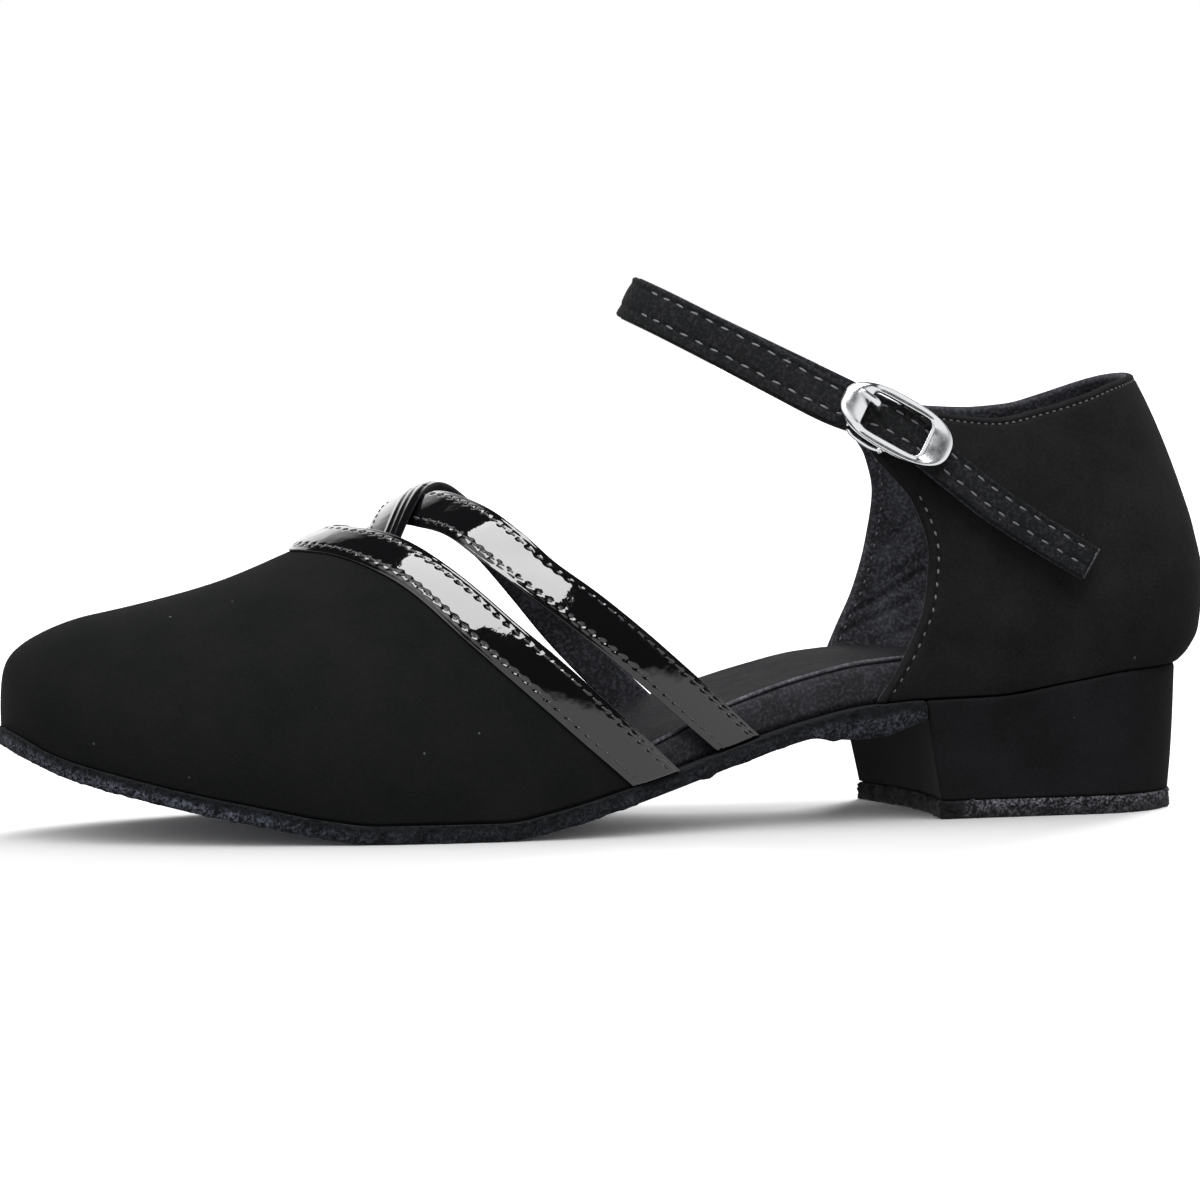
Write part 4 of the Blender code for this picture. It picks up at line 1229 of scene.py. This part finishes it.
def make_quarter():
    """The heel cup with its folded collar and front edges, lining and sewn lines."""
    share = 2 * edge_rows(CUP_LENGTH, CUP_WALL / 2, 0.9, seam=3.4) - 1
    up = edge_rows(CUP_HEIGHT, CUP_WALL / 2, 0.75, seam=2.7)
    outer = cup_skin(up[:, None], share[None, :])
    spots = outer - grid_normals(outer, up, share) * (CUP_WALL / 2)
    sheet = soft_sheet("heel_cup", spots, up, share, cup_faces, [CUP_NUBUCK, LINING], ["quarter"])
    collar = [edge_line(sheet, "high", COLLAR_SEAM)]
    threads("collar_stitches", collar, CUP_THREAD, COLLAR_SEAM, (2.0, 2.0))
    ears = [edge_line(sheet, border, EAR_SEAM) for border in ("start", "stop")]
    threads("ear_stitches", ears, GREY_THREAD, EAR_SEAM, (2.0, EAR_BARE))
    lining = sheet._replace(face=sheet.back, normal=-sheet.normal)
    seam = [edge_line(lining, "start", LINING_SEAM)]
    threads("lining_stitches", seam, CUP_THREAD, LINING_SEAM, (2.0, 4.0))


# Slack folds in the inner lining: how far from the front edge and sole, their slant and depth
CREASES = table(
    "from_front from_sole slant long deep",
    (7, 15, 0.5, 9, 0.22), (10, 22, 0.65, 12, 0.28), (14, 28, 0.55, 10, 0.2), (6, 33, 0.8, 8, 0.16),
    (17, 12, 0.35, 9, 0.18),
)


def lining_creases(reach):
    """Soft troughs pressed into the inner side's lining."""
    total = np.zeros_like(reach.low)
    for c in CREASES:
        ahead = reach.start - c.from_front
        above = reach.low - c.from_sole
        along = ahead * math.cos(c.slant) + above * math.sin(c.slant)
        aside = above * math.cos(c.slant) - ahead * math.sin(c.slant)
        total -= c.deep * hump(along, c.long) * (hump(aside, 1.0) - 0.5 * hump(aside - 1.8, 1.2))
    return total


# Ankle strap and buckle

def ankle_way():
    """Points of the ankle strap's middle line, with the lean of its width and the width there."""
    def height(station, out):
        return LOOP_HIGH - LOOP_FALL * (station - LOOP_FRONT) + LOOP_TIP * out

    points = []
    for station, off_cup in SEWN:
        z = height(station, EAR_OUT)
        points.append((station, cup_side(MEDIAL, station, z) + off_cup, z, LOOP_LEAN, LOOP_WIDE))
    for station, out in LOOP:
        points.append((station, out, height(station, out), LOOP_LEAN, LOOP_WIDE))
    return np.array(points + OUTER) - np.array([HALF, 0.0, 0.0, 0.0, 0.0])


def smooth_way(points, count):
    """Even points on a smooth line through the given ones."""
    reach = run_of(points[:, :3])
    slope = np.gradient(points, reach, axis=0)
    s = np.linspace(0, reach[-1], count)
    i = np.clip(np.searchsorted(reach, s, side="right") - 1, 0, len(reach) - 2)
    step = (reach[i + 1] - reach[i])[:, None]
    k = (s - reach[i])[:, None] / step
    return hermite(k, step, points[i], points[i + 1], slope[i], slope[i + 1])


def strap_axes(way):
    """Width and outward directions along the ankle strap."""
    tangent = unit(np.gradient(way[:, :3], axis=0))
    up = np.stack([np.full(len(way), ANKLE_AFT), way[:, 3], np.full(len(way), ANKLE_UP)], -1)
    wide = square_to(tangent, up)
    return wide, np.cross(tangent, wide)


def buckle_place():
    """Middle of the buckle and its three directions."""
    middle = np.array(BUCKLE_AT) - np.array([HALF, 0.0, 0.0])
    tangent = unit(np.array(BUCKLE_ALONG))
    wide = square_to(tangent, np.array([ANKLE_AFT, BUCKLE_LEAN, ANKLE_UP]))
    return middle, tangent, wide, np.cross(tangent, wide)


def in_buckle(a, b, c):
    """Points given along, across and out from the buckle."""
    middle, along, across, out = buckle_place()
    a, b, c = np.broadcast_arrays(a, b, c)
    return middle + a[..., None] * along + b[..., None] * across + c[..., None] * out


def ankle_faces(reach):
    """Faces of the ankle strap's upper layer: folded edges and two sewn lines."""
    half = ANKLE_UPPER / 2
    edge = round_edge(reach.sides, half) * round_edge(reach.ends, ANKLE_END)
    dents = stitch_dents(reach.low, reach.start, ANKLE_LOW_SEAM)
    dents = dents + stitch_dents(reach.high, reach.start, ANKLE_HIGH_SEAM)
    crown = ANKLE_CROWN * smooth((reach.sides - ANKLE_CROWN_FROM) / ANKLE_CROWN_EASE)
    far = {"low": reach.low, "high": reach.high}
    fold = sum(f.high * hump(far[f.border] - f.inside, f.wide) for f in ANKLE_FOLDS)
    return edge * (half - ANKLE_SUNK + crown + fold - dents), edge * half


def make_ankle_strap():
    """A folded upper layer with two sewn lines and a cut end, and a thinner lining under it."""
    way = smooth_way(ankle_way(), ANKLE_STEPS)
    wide, out = strap_axes(way)
    ks = edge_rows(*ANKLE_ROWS)
    along = np.linspace(0, 1, len(way))

    def layer(name, lift, share, faces, leather, nodes):
        across = (0.5 - ks)[:, None] * way[None, :, 4] * share
        spots = way[None, :, :3] + wide[None] * across[..., None] + out[None] * lift
        return soft_sheet(name, spots, ks, along, faces, [leather], nodes)

    sheet = layer("ankle_strap_upper", ANKLE_LIFT, UPPER_SHARE, ankle_faces, STRAP_LEATHER, ["ankle_strap"])
    rows = []
    for border, seam in (("low", ANKLE_LOW_SEAM), ("high", ANKLE_HIGH_SEAM)):
        spots, ways = edge_line(sheet, border, seam)
        bend = int(spots[:, 0].argmin())
        rows += [(spots[bend::-1], ways[bend::-1]), (spots[bend:], ways[bend:])]
    half = TAIL_CUT_HALF * way[-1, 4] * wide[-1]
    cut = way[-1, :3] + out[-1] * ANKLE_LIFT + np.linspace(-1, 1, 9)[:, None] * half
    bar("ankle_strap_cut_end", cut, np.full(len(cut), TAIL_CUT_RADIUS), 8, CUT_EDGE, ())
    threads("ankle_strap_stitches", rows, GREY_THREAD, ANKLE_LOW_SEAM, (ANKLE_BARE, TAIL_BARE))
    layer("ankle_strap_lining", LINING_LIFT, LINING_SHARE, plain_faces(ANKLE_LINING, ANKLE_END), LINING, [])


def oblong(long, wide, square, turn):
    """Half lengths of a rounded oblong at a turn about its middle."""
    return long / 2 * power(np.cos(turn), 2 / square), wide / 2 * power(np.sin(turn), 2 / square)


def make_buckle():
    """A cast frame, domed at its front end and flat at its back end, on a bar below the strap."""
    turn = np.linspace(0, 2 * np.pi, FRAME_TURNS)[None, :]
    lap = np.linspace(0, 2 * np.pi, FRAME_LAPS)[:, None]
    outer_a, outer_b = oblong(FRAME_LONG, FRAME_WIDE, FRAME_SQUARE, turn)
    inner_a, inner_b = oblong(WINDOW_LONG, WINDOW_WIDE, WINDOW_SQUARE, turn)
    out_share = 0.5 + 0.5 * power(np.cos(lap), FRAME_BLUNT)
    wave_up = power(np.sin(lap), FRAME_BLUNT)
    front = smooth((-np.cos(turn) - FRONT_FROM) / FRONT_EASE)
    back = smooth((np.cos(turn) - REAR_FROM) / REAR_EASE)
    rail = (1 - front) * (1 - back)
    half = 0.5 * (FRAME_HIGH - FRAME_LOW)
    dome = front * FRONT_DOME * np.sin(np.pi * out_share) * (wave_up > 0)
    facet = REAR_FACET * back * (1 - out_share) * smooth(out_share / FACET_EASE)
    dish = -(facet + RAIL_DISH * rail * np.sin(np.pi * out_share) ** 2) * (wave_up > 0)
    a = inner_a + (outer_a - inner_a) * out_share
    b = inner_b + (outer_b - inner_b) * out_share
    bm = bmesh.new()
    lay_grid(bm, in_buckle(a, b, FRAME_LOW + half + half * wave_up + dome + dish))
    weld(bm)
    low = -FRAME_LOW - BAR_RADIUS
    post = [(POST_AT, POST_TOP), (POST_AT, POST_BEND), (POST_AT, low + POST_BEND),
            (POST_AT - POST_CORNER, low + POST_CORNER), (POST_AT - POST_BEND, low)]
    staple = [(-across, out) for across, out in post] + [(0.0, low)] + post[::-1]
    way = np.array([in_buckle(0.0, across, out) for across, out in staple])
    tube(bm, way, np.full(len(way), BAR_RADIUS), BAR_SIDES)
    way = smooth_way(np.array([in_buckle(*p) for p in FRAME_LOOP]), LOOP_STEPS)
    tube(bm, way, np.full(len(way), LOOP_RADIUS), LOOP_SIDES)
    finish("buckle_cast_frame", bm, [CHROME], ["buckle_frame"])

    over = FRAME_HIGH + PRONG_CLEAR + PRONG_LIFT
    way = []
    for p in PRONG:
        way.append(in_buckle(p.along, PRONG_ASIDE - PRONG_SLANT * (p.along + PRONG_ROOT), over + p.lift))
    dense = np.linspace(0, 1, PRONG_STEPS)
    knots = np.linspace(0, 1, len(PRONG))
    way = between(dense, knots, np.array(way))
    for _ in range(3):
        way[1:-1] = 0.25 * way[:-2] + 0.5 * way[1:-1] + 0.25 * way[2:]
    radius = np.interp(dense, knots, [p.radius for p in PRONG])
    bar("buckle_tongue", way, radius, BAR_SIDES, CHROME, ["buckle_prong"])


def tube(bm, way, radius, sides):
    """A round bar along a line, closed at both ends."""
    tangent = unit(np.gradient(way, axis=0))
    _, along, across, _ = buckle_place()
    guide = across if abs(tangent[len(way) // 2] @ across) < 0.7 else along
    side = square_to(tangent, guide)
    other = np.cross(tangent, side)
    turn = np.linspace(0, 2 * np.pi, sides + 1)[None, :, None]
    out = np.cos(turn) * side[:, None] + np.sin(turn) * other[:, None]
    rings = way[:, None] + radius[:, None, None] * out
    first, last = (np.repeat(end[None, None], sides + 1, axis=1) for end in (way[0], way[-1]))
    before = set(bm.faces)
    lay_grid(bm, np.concatenate([first, rings, last]))
    made = [f for f in bm.faces if f not in before]
    bmesh.ops.remove_doubles(bm, verts=list({v for f in made for v in f.verts}), dist=WELD)
    bmesh.ops.recalc_face_normals(bm, faces=[f for f in bm.faces if f not in before])


def bar(name, way, radius, sides, material, nodes):
    """A piece that is one round bar."""
    bm = bmesh.new()
    tube(bm, way, radius, sides)
    finish(name, bm, [material], nodes)


def make_tab():
    """The leather tab on the outer ear, under the buckle's bar and the strap's tail."""
    us = edge_rows(TAB_BACK - TAB_FRONT, 0.5, 0.6)
    vs = edge_rows(2 * TAB_HALF, 0.5, 0.6)
    a = TAB_FRONT + (TAB_BACK - TAB_FRONT) * us
    spots = in_buckle(a[:, None], TAB_HALF * (2 * vs - 1)[None, :], 0.0)
    middle = 0.5 * (TAB_LOW + TAB_HIGH)
    spots[..., 1] = -(cup_side(LATERAL, spots[..., 0] + HALF, spots[..., 2]) + middle)
    thick = TAB_HIGH - TAB_LOW
    soft_sheet("buckle_tab_leather", spots, us, vs, plain_faces(thick, thick / 2), [STRAP_LEATHER],
               ["buckle_tab"])


# Stage

def make_floor():
    """A table top that gives the shoe no light of its own."""
    bm = bmesh.new()
    bmesh.ops.create_grid(bm, x_segments=2, y_segments=2, size=FLOOR_HALF)
    obj = put_mesh("floor", bm, [floor_paint()])
    obj.visible_diffuse = False
    obj.visible_glossy = False


# What gloss picks up: a direction, cosines where its soft edge starts and ends, brightness on either side;
# first the surroundings, white below and dark above, then two white panels
PANELS = (
    ((0.0, -0.176, 1.0), 0.41, 0.485, 1.0, 0.03),
    ((0.0, 0.84, 0.54), 0.90, 0.97, 0.0, 1.0),
    ((-0.80, -0.42, 0.42), 0.86, 0.95, 0.0, 1.5),
)


def make_world():
    """White surroundings near the floor, dark above, with two panels; all white for what isn't gloss."""
    world = bpy.data.worlds.new("studio")
    bpy.context.scene.world = world
    world.use_nodes = True
    tree = world.node_tree
    look = node(tree, "TexCoord").outputs["Generated"]
    total = None
    for toward, edge, full, outside, inside in PANELS:
        near = node(tree, "VectorMath", {0: look, 1: toward}, operation="DOT_PRODUCT").outputs["Value"]
        panel = node(tree, "MapRange", {0: near, 1: edge, 2: full, 3: outside, 4: inside}).outputs["Result"]
        if total:
            panel = node(tree, "Math", {0: total, 1: panel}, operation="ADD").outputs["Value"]
        total = panel
    path = node(tree, "LightPath")
    fill = node(tree, "Mix", {0: path.outputs["Is Diffuse Ray"], 2: total, 3: 1.0})
    sky = tree.nodes["Background"]
    sky.inputs["Color"].default_value = (1.0, 1.0, 1.0, 1.0)
    tree.links.new(fill.outputs[0], sky.inputs["Strength"])


def lamp(name, energy, angle, state):
    """A distant soft lamp that lights the floor alone, or all but the floor."""
    data = bpy.data.lights.new(name, "SUN")
    data.energy = energy
    data.angle = math.radians(angle)
    made = put(name, data)
    lit = bpy.data.collections.new(name)
    lit.objects.link(bpy.data.objects["floor"])
    lit.collection_objects[0].light_linking.link_state = state
    made.light_linking.receiver_collection = lit
    return made


def make_light():
    """The surroundings, one large round soft light in front overhead, and two lamps for the floor."""
    make_world()
    turn = math.radians(SOFTBOX_TURN)
    rise = math.radians(SOFTBOX_RISE)
    toward = Vector((math.sin(turn) * math.cos(rise), -math.cos(turn) * math.cos(rise), math.sin(rise)))
    softbox = lamp("round_softbox", 5.8, 51, "EXCLUDE")
    softbox.rotation_mode = "QUATERNION"
    softbox.rotation_quaternion = toward.to_track_quat("Z", "Y")
    lamp("table_light", 0.6, 170, "INCLUDE")
    behind = lamp("back_table_light", 4.2, 25, "INCLUDE")
    behind.rotation_euler = (math.radians(-66), 0.0, math.radians(-35))
    settings = bpy.context.scene.view_settings
    settings.view_transform = "Standard"
    settings.look = "None"


def make_camera():
    """The photograph's view: a metre away, a little in front of the side and a little above the floor."""
    turn = Matrix.Rotation(math.radians(-VIEW_TURN), 4, "Z")
    rise = Matrix.Rotation(math.radians(90 - VIEW_RISE), 4, "X")
    roll = Matrix.Rotation(math.radians(-VIEW_ROLL), 4, "Z")
    back = Matrix.Translation((0.0, 0.0, VIEW_FAR * MM))
    data = bpy.data.cameras.new("camera")
    data.lens = LENS
    data.sensor_width = FILM_WIDE
    camera = put("camera", data)
    camera.matrix_world = Matrix.Translation(Vector(VIEW_AT) * MM) @ turn @ rise @ roll @ back
    bpy.context.scene.camera = camera


make_camera()
make_floor()
make_light()
make_outsole()
make_insole()
make_heel()
make_vamp()
make_quarter()
make_band()
make_rear_strap("outer_rear_strap", "strap_lateral", outer_front, outer_rear, False, CROSS_DIP)
make_rear_strap("inner_rear_strap", "strap_medial", inner_front, inner_rear, True, 0.0)
make_ankle_strap()
make_buckle()
make_tab()
